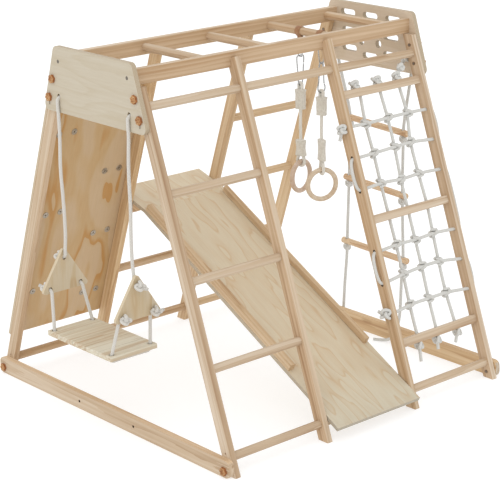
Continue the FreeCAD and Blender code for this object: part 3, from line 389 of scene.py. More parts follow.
# bridles: from one corner of the triangle down through the seat, under it and up to the other corner
bridleHalf = [(0.065, 0.2255, 0.458), (0.065, 0.197, 0.458), (0.068, 0.1915, 0.4315), (0.0797, 0.1715, 0.34),
              (0.0862, 0.1617, 0.2928), (0.05, 0.163, 0.2953)]
for name, edge in bothEdges:
    route = [(x - out, edge * y, z) for out, y, z in bridleHalf]
    route += [(x + out, edge * y, z) for out, y, z in bridleHalf[::-1]]
    rope, path, length = ropeTube(f"swing_bridle_{name}", route, swingRope["diameter"], "swing", shadedSwingBraid)
    ends = knotPiece(f"swing_bridle_knots_{name}", [{
        "place": (x + side * swingRope["cornerOut"], edge * swingRope["outerKnot"], swingRope["corner"]),
        "axis": (0, edge, 0), "size": swingRope["knot"], "tail": (side * 0.014, edge * 0.022, 0.008),
        "roll": 0.9 * side} for side in (-1, 1)], swingRope["diameter"], "swing", shadedSwingBraid)
    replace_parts(rope, "swing_bridles")
print("swing ropes and bridles laid")

# rope ladder: two ropes through three rungs with a knot under each, tails down to the floor
ladderRope = {"diameter": 0.012, "x": 0.6653, "inner": 0.6346, "innerKnot": 0.6297, "knot": 0.0116,
              "y": 0.165, "above": 0.03, "drop": 0.023, "knotGap": 0.001, "tailFoot": 0.03, "tailTop": 0.3}
ladderRungs = [(0.679, 0.845, 0.021), (0.675, 0.6, 0.019), (0.674, 0.338, 0.01)]
ladderTails = {
    "front": [(0.65, -0.171, 0.276), (0.637, -0.181, 0.216), (0.63, -0.186, 0.157), (0.628, -0.181, 0.101),
              (0.626, -0.166, 0.05), (0.621, -0.144, 0.017), (0.609, -0.118, 0.0066),
              (0.592, -0.078, 0.0061)],
    "rear": [(0.688, 0.171, 0.276), (0.687, 0.176, 0.216), (0.685, 0.18, 0.157), (0.684, 0.183, 0.101),
             (0.686, 0.188, 0.05), (0.696, 0.198, 0.017), (0.716, 0.214, 0.0066), (0.748, 0.226, 0.0061)],
}
x = ladderRope["x"]
for name, edge in bothEdges:
    y = edge * plateHole["y"]
    route = [(ladderRope["inner"], y, plateHole["z"])] + [(x, y, z) for z in (plateHole["z"], 1.11, 1.079)]
    knots = []
    for reach, z, skew in ladderRungs:
        place = Vector((reach + edge * skew, edge * ladderRope["y"], z))
        route += [tuple(place + Vector((0, 0, ladderRope["above"]))),
                  tuple(place - Vector((0, 0, ladderRope["drop"])))]
        knots.append({"place": place - Vector((0, 0, ladderRope["drop"] + ladderRope["knotGap"])),
                      "axis": (0, 0, 1), "size": ladderRope["knot"], "roll": z})
    rope, path, length = ropeTube(f"ladder_rope_{name}", route, ladderRope["diameter"], None)
    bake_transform(rope)
    inner = knotPiece(f"ladder_plate_knot_{name}", [{
        "place": (ladderRope["innerKnot"], y, plateHole["z"]), "axis": (1, 0, 0), "size": ladderRope["knot"],
        "tail": (-0.026, edge * 0.005, -0.018)}], ladderRope["diameter"], "frame")
    under = knotPiece(f"ladder_knots_{name}", knots, ladderRope["diameter"], "rope_ladder")
    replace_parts(rope, "ladder_ropes")
    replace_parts(inner, "ladder_rope_anchors")
    last = route[-1]
    tail, path, length = ropeTube(f"ladder_tail_{name}", [last] + ladderTails[name],
                                  ladderRope["diameter"], None)
    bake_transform(tail)
    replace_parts(tail, "ladder_rope_tails")
print("rope ladder laid")

# the leaning planes of the legs: half the depth at the floor and the loss of depth with height
lean = {"foot": 0.651145, "wallFoot": 0.675, "slope": 0.352227}
netOut = Vector((0, -0.9432, 0.3322))
netUp = Vector((0, 0.3322, 0.9432))
wallOut = Vector((0, 0.9432, 0.3322))

# climbing net: uprights hang through the slats, one rope is laced across them through the legs
net = {"diameter": 0.012, "shift": 0.00515, "knot": 0.0136, "wrap": 0.0132,
       "columns": (0.3225, 0.4225, 0.5225), "slatTop": (1.088, 1.06), "slatMiddle": (0.66, 0.63),
       "slatLow": (0.23, 0.202)}
crossings = [
    [(0.314, 0.965), (0.43, 0.968), (0.533, 0.969)],
    [(0.321, 0.862), (0.43, 0.866), (0.511, 0.869)],
    [(0.32, 0.759), (0.422, 0.752), (0.516, 0.758)],
    [(0.325, 0.543), (0.423, 0.54), (0.518, 0.545)],
    [(0.325, 0.441), (0.424, 0.446), (0.513, 0.446)],
    [(0.321, 0.334), (0.42, 0.334), (0.511, 0.335)],
]
netRows = [0.96675, 0.8595, 0.75225, 0.53775, 0.4305, 0.32325]
topKnots = [(0.308, 1.1), (0.42, 1.099), (0.52, 1.1)]
lowKnots = [(0.321, 0.19), (0.415, 0.188), (0.524, 0.19)]
lowTails = [(0.312, 0.135), (0.409, 0.155), (0.503, 0.158)]


def onNet(x, z, out=0.0):
    return Vector((x, -(lean["foot"] - lean["slope"] * z), z)) + netOut * out


def behind(x, z):
    return onNet(x, z, -net["shift"])


def before(x, z):
    return onNet(x, z, net["shift"])


for column, x in enumerate(net["columns"]):
    route = [behind(*topKnots[column])] + [behind(x, z) for z in net["slatTop"]]
    route += [behind(*crossings[row][column]) for row in range(3)]
    route += [behind(x, z) for z in net["slatMiddle"]]
    route += [behind(*crossings[row][column]) for row in range(3, 6)]
    route += [behind(x, z) for z in net["slatLow"]] + [behind(*lowKnots[column]), behind(*lowTails[column])]
    rope, path, length = ropeTube(f"net_upright_{column + 1}", route, net["diameter"], "frame")
    knots = [{"place": behind(*topKnots[column]), "axis": (1, 0.1, 0.35), "size": net["knot"] * 1.08,
              "tail": (-0.028, 0, 0.012), "roll": column},
             {"place": behind(*lowKnots[column]), "axis": netUp, "size": net["knot"], "roll": 0.5 + column}]
    if column == 2:  # the last upright has a second knot above the first
        knots[0]["tail"] = None
        knots.append({"place": onNet(0.548, 1.128, -0.002), "axis": (0.6, 0.2, 0.7),
                      "size": net["knot"] * 0.9, "tail": (-0.028, 0, -0.028), "roll": 0.3})
    ends = knotPiece(f"net_upright_knots_{column + 1}", knots, net["diameter"], "frame")
    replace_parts(rope, "net_uprights")

# lacing: left to right in the first row, round a leg to the next row and back
lacingRun = {"start": (0.188, 0.205), "span": (0.227, 0.62), "rightLeg": (0.6485, 0.655),
             "leftLeg": (0.1965, 0.188), "turn": 0.032, "knotX": 0.187, "hitch": 0.95}
lace = [before(spot, netRows[0]) for spot in lacingRun["start"]]
for row, z in enumerate(netRows):
    onward = row % 2 == 0
    first, last = lacingRun["span"] if onward else lacingRun["span"][::-1]
    lace.append(before(first, z))
    lace += [before(*spot) for spot in (crossings[row] if onward else crossings[row][::-1])]
    lace.append(before(last, z))
    if row == len(netRows) - 1:
        continue
    below = netRows[row + 1]
    face, bulge = lacingRun["rightLeg"] if onward else lacingRun["leftLeg"]
    lace += [before(face, z), before(bulge, z - lacingRun["turn"]),
             before(bulge, below + lacingRun["turn"]), before(face, below)]
lace += [before(spot, netRows[-1]) for spot in lacingRun["start"][::-1]]
lacing, path, length = ropeTube("net_lacing_rope", lace, net["diameter"], "frame")
laceEnds = knotPiece("net_lacing_knots", [
    {"place": before(lacingRun["knotX"], netRows[0] - 0.004), "axis": (1, 0, 0.2),
     "size": net["knot"] * 1.15, "tail": (-0.006, 0.004, -0.04), "roll": 0.2},
    {"place": before(lacingRun["knotX"], netRows[-1] + 0.004), "axis": (1, 0, -0.2),
     "size": net["knot"] * 1.3, "tail": (-0.008, 0.03, 0.006), "roll": 1.4}], net["diameter"], "frame")

# hitches: two turns round the upright and a short bight over the lacing at each crossing
hitch = {"steps": 12, "from": -200, "turn": 60, "rise": 0.0138,
         "bight": [(-0.014, -0.009, 0.006), (-0.005, -0.005, 0.019), (0.005, 0.005, 0.019),
                   (0.014, 0.009, 0.006)]}
hitches = lineCurve("net_hitches", 5)
for row, spots in enumerate(crossings):
    for column, (x, z) in enumerate(spots):
        middle = behind(x, z)
        tip = 1 if (row + column) % 2 else -1
        turns = []
        for step in range(hitch["steps"] + 1):
            angle = math.radians(hitch["from"] + step * hitch["turn"])
            rise = tip * (-hitch["rise"] + 2 * hitch["rise"] * step / hitch["steps"])
            turns.append(middle + Vector((1, 0, 0)) * net["wrap"] * math.cos(angle)
                         + netOut * net["wrap"] * math.sin(angle) + netUp * rise)
        strand(hitches, turns)
        strand(hitches, [middle + Vector((side, 0, 0)) + netUp * rise * tip + netOut * out
                         for side, rise, out in hitch["bight"]])
hitchPiece = thick(hitches, "net_hitches", net["diameter"] * lacingRun["hitch"], "frame")
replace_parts(lacing, "net_lacing")
print("climbing net laid, lacing", round(length, 3), "m")

# gym ring ropes: an eye on the hook, a sewn sleeve, a single run, a sleeve and an eye on the ring
ringRope = {"diameter": 0.012, "x": 0.294, "hook": 1.0598, "ring": 0.7688, "exit": 1.0573, "upperEye": 0.0086,
            "lowerEye": 0.0151}
ringSets = {  # drop and turn of each set, low end and length of its sleeves
    1: {"y": 0.013, "drop": 0.0, "turn": 11, "upper": (0.9698, 0.074), "lower": (0.7908, 0.061)},
    2: {"y": -0.1, "drop": 0.011, "turn": -21, "upper": (0.9758, 0.068), "lower": (0.8038, 0.08)},
}


def ringRoute(spec):
    e, r = ringRope["upperEye"], ringRope["lowerEye"]
    upperEye = [(-e, -0.0235), (-e, -0.008), (-e, 0.45 * e), (-0.5 * e, e), (0.5 * e, e), (e, 0.45 * e),
                (e, -0.008), (e, -0.03), (0.0, -0.065), (0.0, -0.1), (0.002, -0.15)]
    lowerEye = [(0.0, 0.078), (0.0, 0.064), (0.009, 0.04), (0.0095, 0.026), (r, 0.009), (r, -0.45 * r),
                (0.5 * r, -r), (-0.5 * r, -r), (-r, -0.45 * r), (-r, 0.009), (-0.0095, 0.026),
                (-0.009, 0.031)]
    upper = Vector((0, 1, 0))
    lower = Matrix.Rotation(math.radians(spec["turn"]), 3, "Z") @ upper
    route = []
    for way, level, spots in ((upper, ringRope["hook"], upperEye), (lower, ringRope["ring"], lowerEye)):
        for out, rise in spots:
            route.append(Vector((ringRope["x"], spec["y"], level - spec["drop"] + rise)) + way * out)
    return route


ringCords = {}
for number, spec in ringSets.items():
    ringCords[number] = ropeTube(f"ring_cord_{number}", ringRoute(spec), ringRope["diameter"],
                                 f"ring_set_{number}", litRingBraid)
    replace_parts(ringCords[number][0], f"ring_rope_{number}")
print("ring ropes laid")

# solid wood: faint growth rings round a pith beside the board, long streaks and fine fibres
boardGrain = {"rings": (1, 1, 0.05), "ringScale": 0.314, "streaks": (70, 70, 1.5), "streakShare": 0.55,
              "fibres": (900, 900, 16), "fibreTone": (0.92, 1.05), "broad": (14, 14, 1.6), "broadShare": 0.34,
              "stops": (0.38, 0.53, 0.72), "knots": (5, 5, 1.7),
              "core": [(0.02, 1.0), (0.045, 0.7), (0.075, 0.0)], "gloss": (0.46, 0.66),
              # the last two entries: painted shade round the holes, its colour and the width over which it
              # fades
              "relief": (0.18, 0.0005), "hole": "3a2818", "holeShadeFade": 0.0006}


def timber(name, wood, turn, seed, shadedHoles=(), paintedSide=None, paintedSideAxis="X"):
    material, tree, surface = bare(name, 0.55, Specular_IOR_Level=0.3)
    spot = spotOn(tree)
    along = rotated(tree, spot, [math.radians(part) for part in turn])
    shift = (0.06 + 0.037 * (seed % 5), 0.045 + 0.029 * (seed % 7), 0.31 * seed)  # place in the log
    log = stretched(tree, along, boardGrain["rings"], shift)
    rings = put(tree, "TexWave", {"Vector": log, "Scale": boardGrain["ringScale"] / wood["ring"],
                                  "Distortion": 7.0, "Detail": 3.0, "Detail Scale": 1.4},
                wave_type="RINGS", rings_direction="Z", wave_profile="SAW").outputs["Fac"]
    streak = cloudy(tree, stretched(tree, along, boardGrain["streaks"], shift), 1.0, 4.0, 0.55)
    fibre = cloudy(tree, stretched(tree, along, boardGrain["fibres"]), 1.0, 2.0)
    broad = cloudy(tree, stretched(tree, along, boardGrain["broad"], shift), 1.0, 1.0)
    grain = plus(tree, times(tree, rings, wood["rings"]), times(tree, streak, boardGrain["streakShare"]))
    grain = plus(tree, grain, times(tree, broad, boardGrain["broadShare"]))
    shade = threeTones(tree, grain, boardGrain["stops"], wood)
    if paintedSide:  # painted light and shade: the faces across this axis get a palette of their own for how light falls on that side
        paintedSideMask = sums(tree, "ABSOLUTE", alongAxis(tree, spotOn(tree, "Normal"), paintedSideAxis))
        other = threeTones(tree, grain, boardGrain["stops"], paintedSide)
        shade = blended(tree, ramp(tree, paintedSideMask, [(0.6, 0.0), (0.8, 1.0)]), shade, other)
    knotSpot = stretched(tree, along, boardGrain["knots"], shift)
    knots = put(tree, "TexVoronoi", {"Vector": knotSpot, "Scale": 1.0}).outputs["Distance"]
    core = times(tree, ramp(tree, knots, boardGrain["core"]), wood["knots"])
    shade = blended(tree, core, shade, tint(wood["heart"]))
    shade = toned(tree, shade, spread(tree, fibre, *boardGrain["fibreTone"]))
    shade = put(tree, "HueSaturation", {"Saturation": 0.97 + 0.02 * (seed % 4), "Color": shade,
                                        "Value": 0.985 + 0.01 * (seed % 4)}).outputs[0]
    # painted shade: the wood darkens at the edge of each given hole
    for hole, radius in shadedHoles:
        flat = stretched(tree, spot, (0, 1, 1))
        reach = put(tree, "VectorMath", {0: flat, 1: hole}, operation="DISTANCE").outputs["Value"]
        rim = fading(tree, reach, radius, radius + boardGrain["holeShadeFade"])
        shade = blended(tree, rim, shade, tint(boardGrain["hole"]))
    tree.links.new(shade, surface.inputs["Base Color"])
    tree.links.new(spread(tree, streak, *boardGrain["gloss"]), surface.inputs["Roughness"])
    height = plus(tree, times(tree, fibre, 0.6), times(tree, grain, 0.5))
    raised(tree, surface, height, *boardGrain["relief"])
    return material


# rotary-cut plywood: contour figure on the faces, ply lines on the edges
veneer = {"streaks": (120, 120, 4), "fibres": (800, 800, 30), "fibreTone": (0.9, 1.06),
          "stops": (0.15, 0.5, 0.9), "edgeStreak": 0.6, "edgeTone": (0.2, 0.9), "edgeStops": (0.2, 0.75),
          "faceTurn": [(0.55, 0.0), (0.75, 1.0)], "gloss": (0.42, 0.6), "relief": (0.16, 0.0004)}


def plywood(name, wood, turn, seed, thin):
    material, tree, surface = bare(name, 0.5, Specular_IOR_Level=0.35)
    spot = spotOn(tree)
    angles = [math.radians(part) for part in turn]
    along = rotated(tree, spot, angles)
    facing = rotated(tree, spotOn(tree, "Normal"), angles, "VECTOR")
    shift = (0.37 * seed, 0.53 * seed, 0.71 * seed)  # place in the peeled log
    figure = cloudy(tree, stretched(tree, along, wood["figure"], shift), 1.0, 2.2, 0.42)
    contour = ramp(tree, sums(tree, "FRACT", times(tree, figure, wood["lines"])), wood["bands"])
    streak = cloudy(tree, stretched(tree, along, veneer["streaks"]), 1.0, 4.0, 0.6)
    fibre = cloudy(tree, stretched(tree, along, veneer["fibres"]), 1.0, 2.0)
    tone = plus(tree, times(tree, contour, wood["contrast"]), times(tree, streak, wood["streak"]))
    face = threeTones(tree, tone, veneer["stops"], wood)
    plies = sums(tree, "SINE", times(tree, alongAxis(tree, along, thin), 2 * math.pi / wood["ply"]))
    plies = spread(tree, plus(tree, plies, times(tree, streak, veneer["edgeStreak"])), *veneer["edgeTone"])
    edge = ramp(tree, plies, list(zip(veneer["edgeStops"], (wood["rim"], wood["edge"]))))
    flat = sums(tree, "ABSOLUTE", alongAxis(tree, facing, thin))
    shade = blended(tree, ramp(tree, flat, veneer["faceTurn"]), edge, face)
    shade = toned(tree, shade, spread(tree, fibre, *veneer["fibreTone"]))
    if "lowerShade" in wood:  # painted shade: the lower end is a little greyer
        low, high, wear = wood["lowerShade"]
        share = fading(tree, alongAxis(tree, spot, "Z"), low, high)
        shade = blended(tree, share, shade, tint(wear), "MULTIPLY")
    tree.links.new(shade, surface.inputs["Base Color"])
    tree.links.new(spread(tree, streak, *veneer["gloss"]), surface.inputs["Roughness"])
    raised(tree, surface, plus(tree, times(tree, fibre, 0.6), tone), *veneer["relief"])
    return material


def metal(name, shade, roughness):
    material, tree, surface = bare(name, roughness, Metallic=1.0)
    wear = cloudy(tree, spotOn(tree), 260.0, 4.0)
    tree.links.new(ramp(tree, wear, [(0.3, shade[0]), (0.7, shade[1])]), surface.inputs["Base Color"])
    tree.links.new(spread(tree, wear, roughness * 0.7, roughness * 1.4), surface.inputs["Roughness"])
    raised(tree, surface, wear, 0.08, 0.0003)
    return material


def dress(material, *names):
    for name in names:
        slots = nodes[name].data.materials
        slots.clear()
        slots.append(material)


# the woods, and how each board's grain is turned
pine = {"light": "dcc5a6", "mid": "d0b492", "dark": "b79471", "heart": "96704a", "ring": 0.014, "rings": 0.16,
        "knots": 0.5}
palePine = shaded(pine, "d1c0ab", "c6b197", "ab8e70")
warmPine = shaded(pine, "cbb8a0", "c1aa8e", "a68868")
honeyPine = shaded(pine, "d6bc98", "caac85", "b28d67")
amberPine = shaded(pine, "c9b093", "bda181", "a17d5a")
railPine = {**amberPine, "light": "c8ae90", "dark": "ab8965"}
brownPine = shaded(pine, "bda58a", "b29779", "977555")
deepPine = shaded(pine, "bb9d7b", "b0906c", "96704c")
railEnd = shaded(honeyPine, "c8beaf", "bdae99", "a78f76")
frontLean, rearLean = (19.4, 0, 0), (-19.4, 0, 0)
slideLean, flapLean = (61.7, 0, 0), (72.9, 0, 0)
lengthwise, crosswise, upright = (0, -90, 0), (90, 0, 0), (0, 0, 0)

# legs, each with one palette for its front faces and one for its sides, the sides' palette painting light and
# shade; the third front leg has painted shade at the lacing's holes
frontLegs = [(brownPine, palePine), (palePine, amberPine), (warmPine, amberPine), (palePine, amberPine)]
rearLegs = [(amberPine, warmPine), (honeyPine, honeyPine), (honeyPine, honeyPine), (honeyPine, honeyPine)]
# spots and radii of painted shade at the lacing's holes
laceHole = {"radius": 0.0062, "rise": 0.0045}
laceHoleShade = [(tuple(before(0, netRows[row]) + netUp * laceHole["rise"] * way), laceHole["radius"])
             for row, way in ((1, 1), (2, -1), (3, 1), (4, -1))]
for number in range(1, 5):
    face, side = frontLegs[number - 1]
    dress(timber(f"pine_front_leg_{number}", face, frontLean, number, laceHoleShade if number == 3 else (), side),
          f"front_leg_{number}")
    face, side = rearLegs[number - 1]
    dress(timber(f"pine_rear_leg_{number}", face, rearLean, number + 5, paintedSide=side), f"rear_leg_{number}")

# bars, dowels, rails and slats
# the bars' sides get a second palette of painted light and shade
for number in range(1, 6):
    dress(timber(f"pine_bar_{number}", warmPine, crosswise, number + 10, paintedSide=amberPine),
          f"monkey_bar_{number}")
longPieces = {"front_ladder_rungs": warmPine, "front_panel_dowels": warmPine, "wall_dowel": deepPine,
              "rear_middle_dowels": amberPine, "rear_ladder_rungs": honeyPine, "net_slats": palePine}
for seed, (name, wood) in enumerate(longPieces.items(), start=16):
    dress(timber("pine_" + name, wood, lengthwise, seed), name)
# the top rails' top and bottom faces get a second palette of painted light and shade
for seed, name in ((22, "front_top_rail"), (23, "rear_top_rail")):
    dress(timber("pine_" + name, railPine, lengthwise, seed, paintedSide=palePine, paintedSideAxis="Z"), name)
# spots and radii of painted shade at the peg holes
pegHoleShade = [((0, y, 0.03), 0.0046) for y in (-0.158, 0.158)]
# painted light and shade: a second palette on the left rail's top and bottom faces and on the right rail's
# end faces
dress(timber("pine_left_base_rail", warmPine, crosswise, 25, pegHoleShade, pine, "Z"), "left_base_rail")
dress(timber("pine_right_base_rail", honeyPine, crosswise, 26, pegHoleShade, railEnd, "Y"), "right_base_rail")
dress(timber("pine_swing_seat_battens", pine, crosswise, 27), "swing_seat_battens")
dress(timber("pine_slide_cheeks", pine, flapLean, 30), "slide_hook_cheeks")

# seat, ladder rungs and rings
seatWood = shaded(pine, "d5cfbe", "cbc0aa", "b49879", knots=0.0)
rungWood = shaded(pine, "d8be9c", "caa782", "ab8560", knots=0.0)
ringWood = shaded(pine, "cdbaaa", "c4ac96", "b2957c", rings=0.04, knots=0.0)
paleRing = shaded(ringWood, "d7c6af", "cdb79b", "bb9e7f")
dress(timber("seat_plank_wood", seatWood, lengthwise, 31), "swing_seat_planks")
dress(timber("ladder_rung_wood", rungWood, crosswise, 33), "ladder_rungs")
dress(timber("ring_wood_1", ringWood, crosswise, 35), "gym_ring_1")
dress(timber("ring_wood_2", paleRing, crosswise, 36), "gym_ring_2")

# plywood boards
plateBoard = {"light": "c2b8a5", "mid": "b9ac94", "dark": "a99476", "edge": "9e8767", "rim": "bfb39e",
              "figure": (9, 9, 1.6), "lines": 8.0, "contrast": 0.16, "streak": 0.45, "ply": 0.0036,
              "bands": [(0.0, 0.0), (0.45, 0.08), (0.75, 0.75), (0.9, 1.0), (1.0, 0.0)]}
rightPlate = shaded(plateBoard, "cdbca7", "c4b196", "b39877")
triangleBoard = {**plateBoard, "light": "c8bba3", "mid": "bfab8a", "dark": "b0895c", "edge": "bba683",
                 "rim": "d8ccb4", "figure": (14, 14, 3), "lines": 3.0, "contrast": 0.36}
wallBoard = {"light": "c3a987", "mid": "bfa075", "dark": "b88b52", "edge": "ab926e", "rim": "cfc2ac",
             "figure": (8.5, 8.5, 1.9), "lines": 3.3, "contrast": 0.78, "streak": 0.28, "ply": 0.003,
             "bands": [(0.0, 0.3), (0.12, 0.04), (0.52, 0.06), (0.66, 0.5), (0.8, 0.45), (0.94, 1.0)]}
slideBoard = {"light": "d2c4aa", "mid": "cdb797", "dark": "bf9b79", "edge": "a6947a", "rim": "c4b8a4",
              "figure": (12, 12, 2.4), "lines": 6.5, "contrast": 0.46, "streak": 0.3, "ply": 0.003,
              # painted shade towards the board's lower end
              "lowerShade": (0.05, 0.21, "ecf1f6"),
              "bands": [(0.0, 0.0), (0.3, 0.1), (0.8, 0.45), (0.92, 1.0), (1.0, 0.0)]}
dress(plywood("plate_plywood_left", plateBoard, crosswise, 1, "X"), "left_end_plate")
dress(plywood("plate_plywood_right", rightPlate, crosswise, 2, "X"), "right_end_plate")
dress(plywood("triangle_plywood", triangleBoard, upright, 3, "Y"), "swing_triangles")
dress(plywood("wall_plywood", wallBoard, rearLean, 4, "Y"), "climbing_wall")
dress(plywood("slide_plywood", slideBoard, slideLean, 5, "Y"), "slide_board")
dress(plywood("flap_plywood", slideBoard, flapLean, 6, "Y"), "slide_flap")

# metal
flangePlate = metal("flange_plate", ("988f82", "c2b9ab"), 0.36)
# painted shade for the flanges' bores and slots
boreShade = metal("painted_bore_shade", ("4a4238", "6a5f52"), 0.6)
dullScrew = metal("dull_screw", ("6e6860", "8c857b"), 0.5)
brightSteel = metal("bright_steel", ("9a9c9e", "c6c8c9"), 0.24)
dress(dullScrew, "rail_screws", "frame_bolts")
dress(metal("bronzed_insert", ("7d6550", "9c8164"), 0.45), "tee_nuts")
dress(brightSteel, "ring_link_1", "ring_link_2")
print("wood and metal dressed")

# side strips: the node's shape, the left one out to the board's edge, the right one's end cut shorter
strips = {"downhill": (0, -0.8805, -0.4741), "outwards": 0.008, "cut": 0.007, "middle": 0.184, "end": 0.03}
stripWood = shaded(pine, "cfb695", "c3a682", "ab8862")
# painted side shade: the strips' faces across X get their own palette
stripPaintedSide = shaded(pine, "d6bf9f", "cbb08d", "b4936f")
downhill = Vector(strips["downhill"])
bm = bmesh.new()
bm.from_mesh(nodes["slide_side_strips"].data)
bmesh.ops.remove_doubles(bm, verts=bm.verts, dist=1e-6)
foot = max(vert.co.dot(downhill) for vert in bm.verts)
for vert in bm.verts:
    if vert.co.x < -strips["middle"]:
        vert.co.x -= strips["outwards"]
    elif vert.co.x > 0 and vert.co.dot(downhill) > foot - strips["end"]:
        vert.co -= downhill * strips["cut"]
bmesh.ops.recalc_face_normals(bm, faces=bm.faces)
stripPine = timber("pine_slide_strips", stripWood, slideLean, 29, paintedSide=stripPaintedSide)
mesh = meshOf(bm, "slide_strip_pair")
stripPair = stand(mesh, "slide_strip_pair", "slide", stripPine, smooth=False)
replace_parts(stripPair, "slide_side_strips")
print("side strips set")

# sewn fabric sleeves over the ring ropes
sleeve = {"width": 0.042, "thick": 0.022, "corner": 0.0075, "rim": 0.0022, "rows": 9, "waist": 0.1,
          "ripple": 0.05, "pinch": 0.16, "upperTurn": 24, "upperFlare": 0.1, "lowerFlare": -0.08,
          "stitch": 0.0046, "stitches": 7, "hem": 0.008, "thread": 0.0006, "threadShape": (2.4, 0.8, 0.8)}
sleeveCloth = {"thread": 0.0016, "weave": 0.16, "slub": 140.0, "relief": (0.5, 0.0006),
               "tones": [(0.25, "c5bfb3"), (0.5, "d1ccc0"), (0.75, "dbd7cc")]}


def cloth(name, look):
    material, tree, surface = bare(name, 0.9, Sheen_Weight=0.3, Sheen_Roughness=0.5)
    spot = spotOn(tree)
    level = plus(tree, alongAxis(tree, spot, 0), alongAxis(tree, spot, 1))
    warp = sums(tree, "SINE", times(tree, level, 2 * math.pi / look["thread"]))
    weft = sums(tree, "SINE", times(tree, alongAxis(tree, spot, 2), 2 * math.pi / look["thread"]))
    slub = cloudy(tree, spot, look["slub"], 3.0)
    tone = plus(tree, times(tree, times(tree, warp, weft), look["weave"]), slub)
    tree.links.new(ramp(tree, tone, look["tones"]), surface.inputs["Base Color"])
    raised(tree, surface, tone, *look["relief"])
    return material


def sewnSleeve(target, low, length, spec, turn, flare):
    bm = bmesh.new()
    bmesh.ops.create_cube(bm, size=1)
    bmesh.ops.scale(bm, vec=(sleeve["width"], sleeve["thick"], length), verts=bm.verts)
    tall = [edge for edge in bm.edges if abs(edge.verts[0].co.z - edge.verts[1].co.z) > length / 2]
    rounded(bm, tall, sleeve["corner"], 4)
    tall = [edge for edge in bm.edges if abs(edge.verts[0].co.z - edge.verts[1].co.z) > length / 2]
    bmesh.ops.subdivide_edges(bm, edges=tall, cuts=sleeve["rows"])
    rims = [edge for edge in bm.edges if all(abs(vert.co.z) > length / 2 - 1e-5 for vert in edge.verts)]
    rounded(bm, rims, sleeve["rim"], 2)
    for vert in bm.verts:
        share = vert.co.z / length
        middle = math.cos(math.pi * share)
        ripple = sleeve["ripple"] * math.sin(9 * share + flare * 20)
        vert.co.x *= 1 + flare * share - sleeve["waist"] * middle + ripple
        vert.co.y *= 1 - sleeve["pinch"] * middle * abs(vert.co.x) / (sleeve["width"] / 2)
    for hem in (-1, 1):
        for side in (-1, 1):
            for step in range(sleeve["stitches"]):
                made = bmesh.ops.create_icosphere(bm, subdivisions=1, radius=sleeve["thread"])["verts"]
                bmesh.ops.scale(bm, vec=sleeve["threadShape"], verts=made)
                place = ((step - sleeve["stitches"] // 2) * sleeve["stitch"], side * sleeve["thick"] * 0.495,
                         hem * (length / 2 - sleeve["hem"]))
                bmesh.ops.translate(bm, vec=place, verts=made)
    place = Matrix.Translation((ringRope["x"], spec["y"], low + length / 2 - spec["drop"]))
    gathered(target, bm, place @ Matrix.Rotation(math.radians(90 + turn), 4, "Z"))


creamCloth = cloth("cream_sleeve_cloth", sleeveCloth)
for number, spec in ringSets.items():
    both = bmesh.new()
    sewnSleeve(both, *spec["upper"], spec, sleeve["upperTurn"], sleeve["upperFlare"])
    sewnSleeve(both, *spec["lower"], spec, spec["turn"], sleeve["lowerFlare"])
    name = f"ring_sleeves_{number}"
    sleeves = stand(meshOf(both, name), name, f"ring_set_{number}", creamCloth)
    rope, path, length = ringCords[number]
print("ring sleeves sewn")

# leather straps: a doubled band round the bar, stitched under it, looped on the link
strap = {"width": 0.025, "edge": 0.0012, "bar": 0.0168, "barHeight": 1.262, "link": 0.0039, "drop": 0.04,
         "neck": [(0.0022, -0.021), (0.0017, -0.027)], "tail": 0.008}
strapHide = {"pores": 750.0, "poreShare": 0.35, "patches": 60.0, "relief": (0.35, 0.0006),
             "tones": [(0.3, "7b5031"), (0.6, "966b47"), (0.95, "a97f5b")]}


def hide(name, look):
    material, tree, surface = bare(name, 0.6)
    spot = spotOn(tree)
    pores = put(tree, "TexVoronoi", {"Vector": spot, "Scale": look["pores"]}).outputs["Distance"]
    tone = plus(tree, times(tree, pores, look["poreShare"]), cloudy(tree, spot, look["patches"], 4.0))
    tree.links.new(ramp(tree, tone, look["tones"]), surface.inputs["Base Color"])
    raised(tree, surface, tone, *look["relief"])
    return material


def arc(radius, middle, angles):
    return [(radius * math.sin(math.radians(a)), middle + radius * math.cos(math.radians(a))) for a in angles]


tanHide = hide("tan_strap_hide", strapHide)
for number, spec in ringSets.items():
    low = strap["drop"] + spec["drop"]
    nearSide = strap["neck"] + [(strap["neck"][1][0], -low + strap["tail"])]
    farSide = [(-out, rise) for out, rise in nearSide[::-1]]
    outline = arc(strap["bar"], 0.0, range(-150, 151, 20)) + nearSide
    outline += arc(strap["link"], -low, range(40, 321, 40)) + farSide
    name = f"ring_strap_band_{number}"
    curve = lineCurve(name, 4)
    strand(curve, [(out, rise, 0) for out, rise in outline], closed=True)
    curve.extrude = strap["width"] / 2 - strap["edge"]
    curve.bevel_depth = strap["edge"]
    curve.bevel_resolution = 2
    mesh = asMesh(curve)
    place = Matrix.Translation((ringRope["x"], spec["y"], strap["barHeight"]))
    mesh.transform(place @ Matrix.Rotation(math.pi / 2, 4, "X"))
    band = stand(mesh, name, f"ring_set_{number}", tanHide)
    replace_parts(band, f"ring_strap_{number}")
print("straps wrapped")

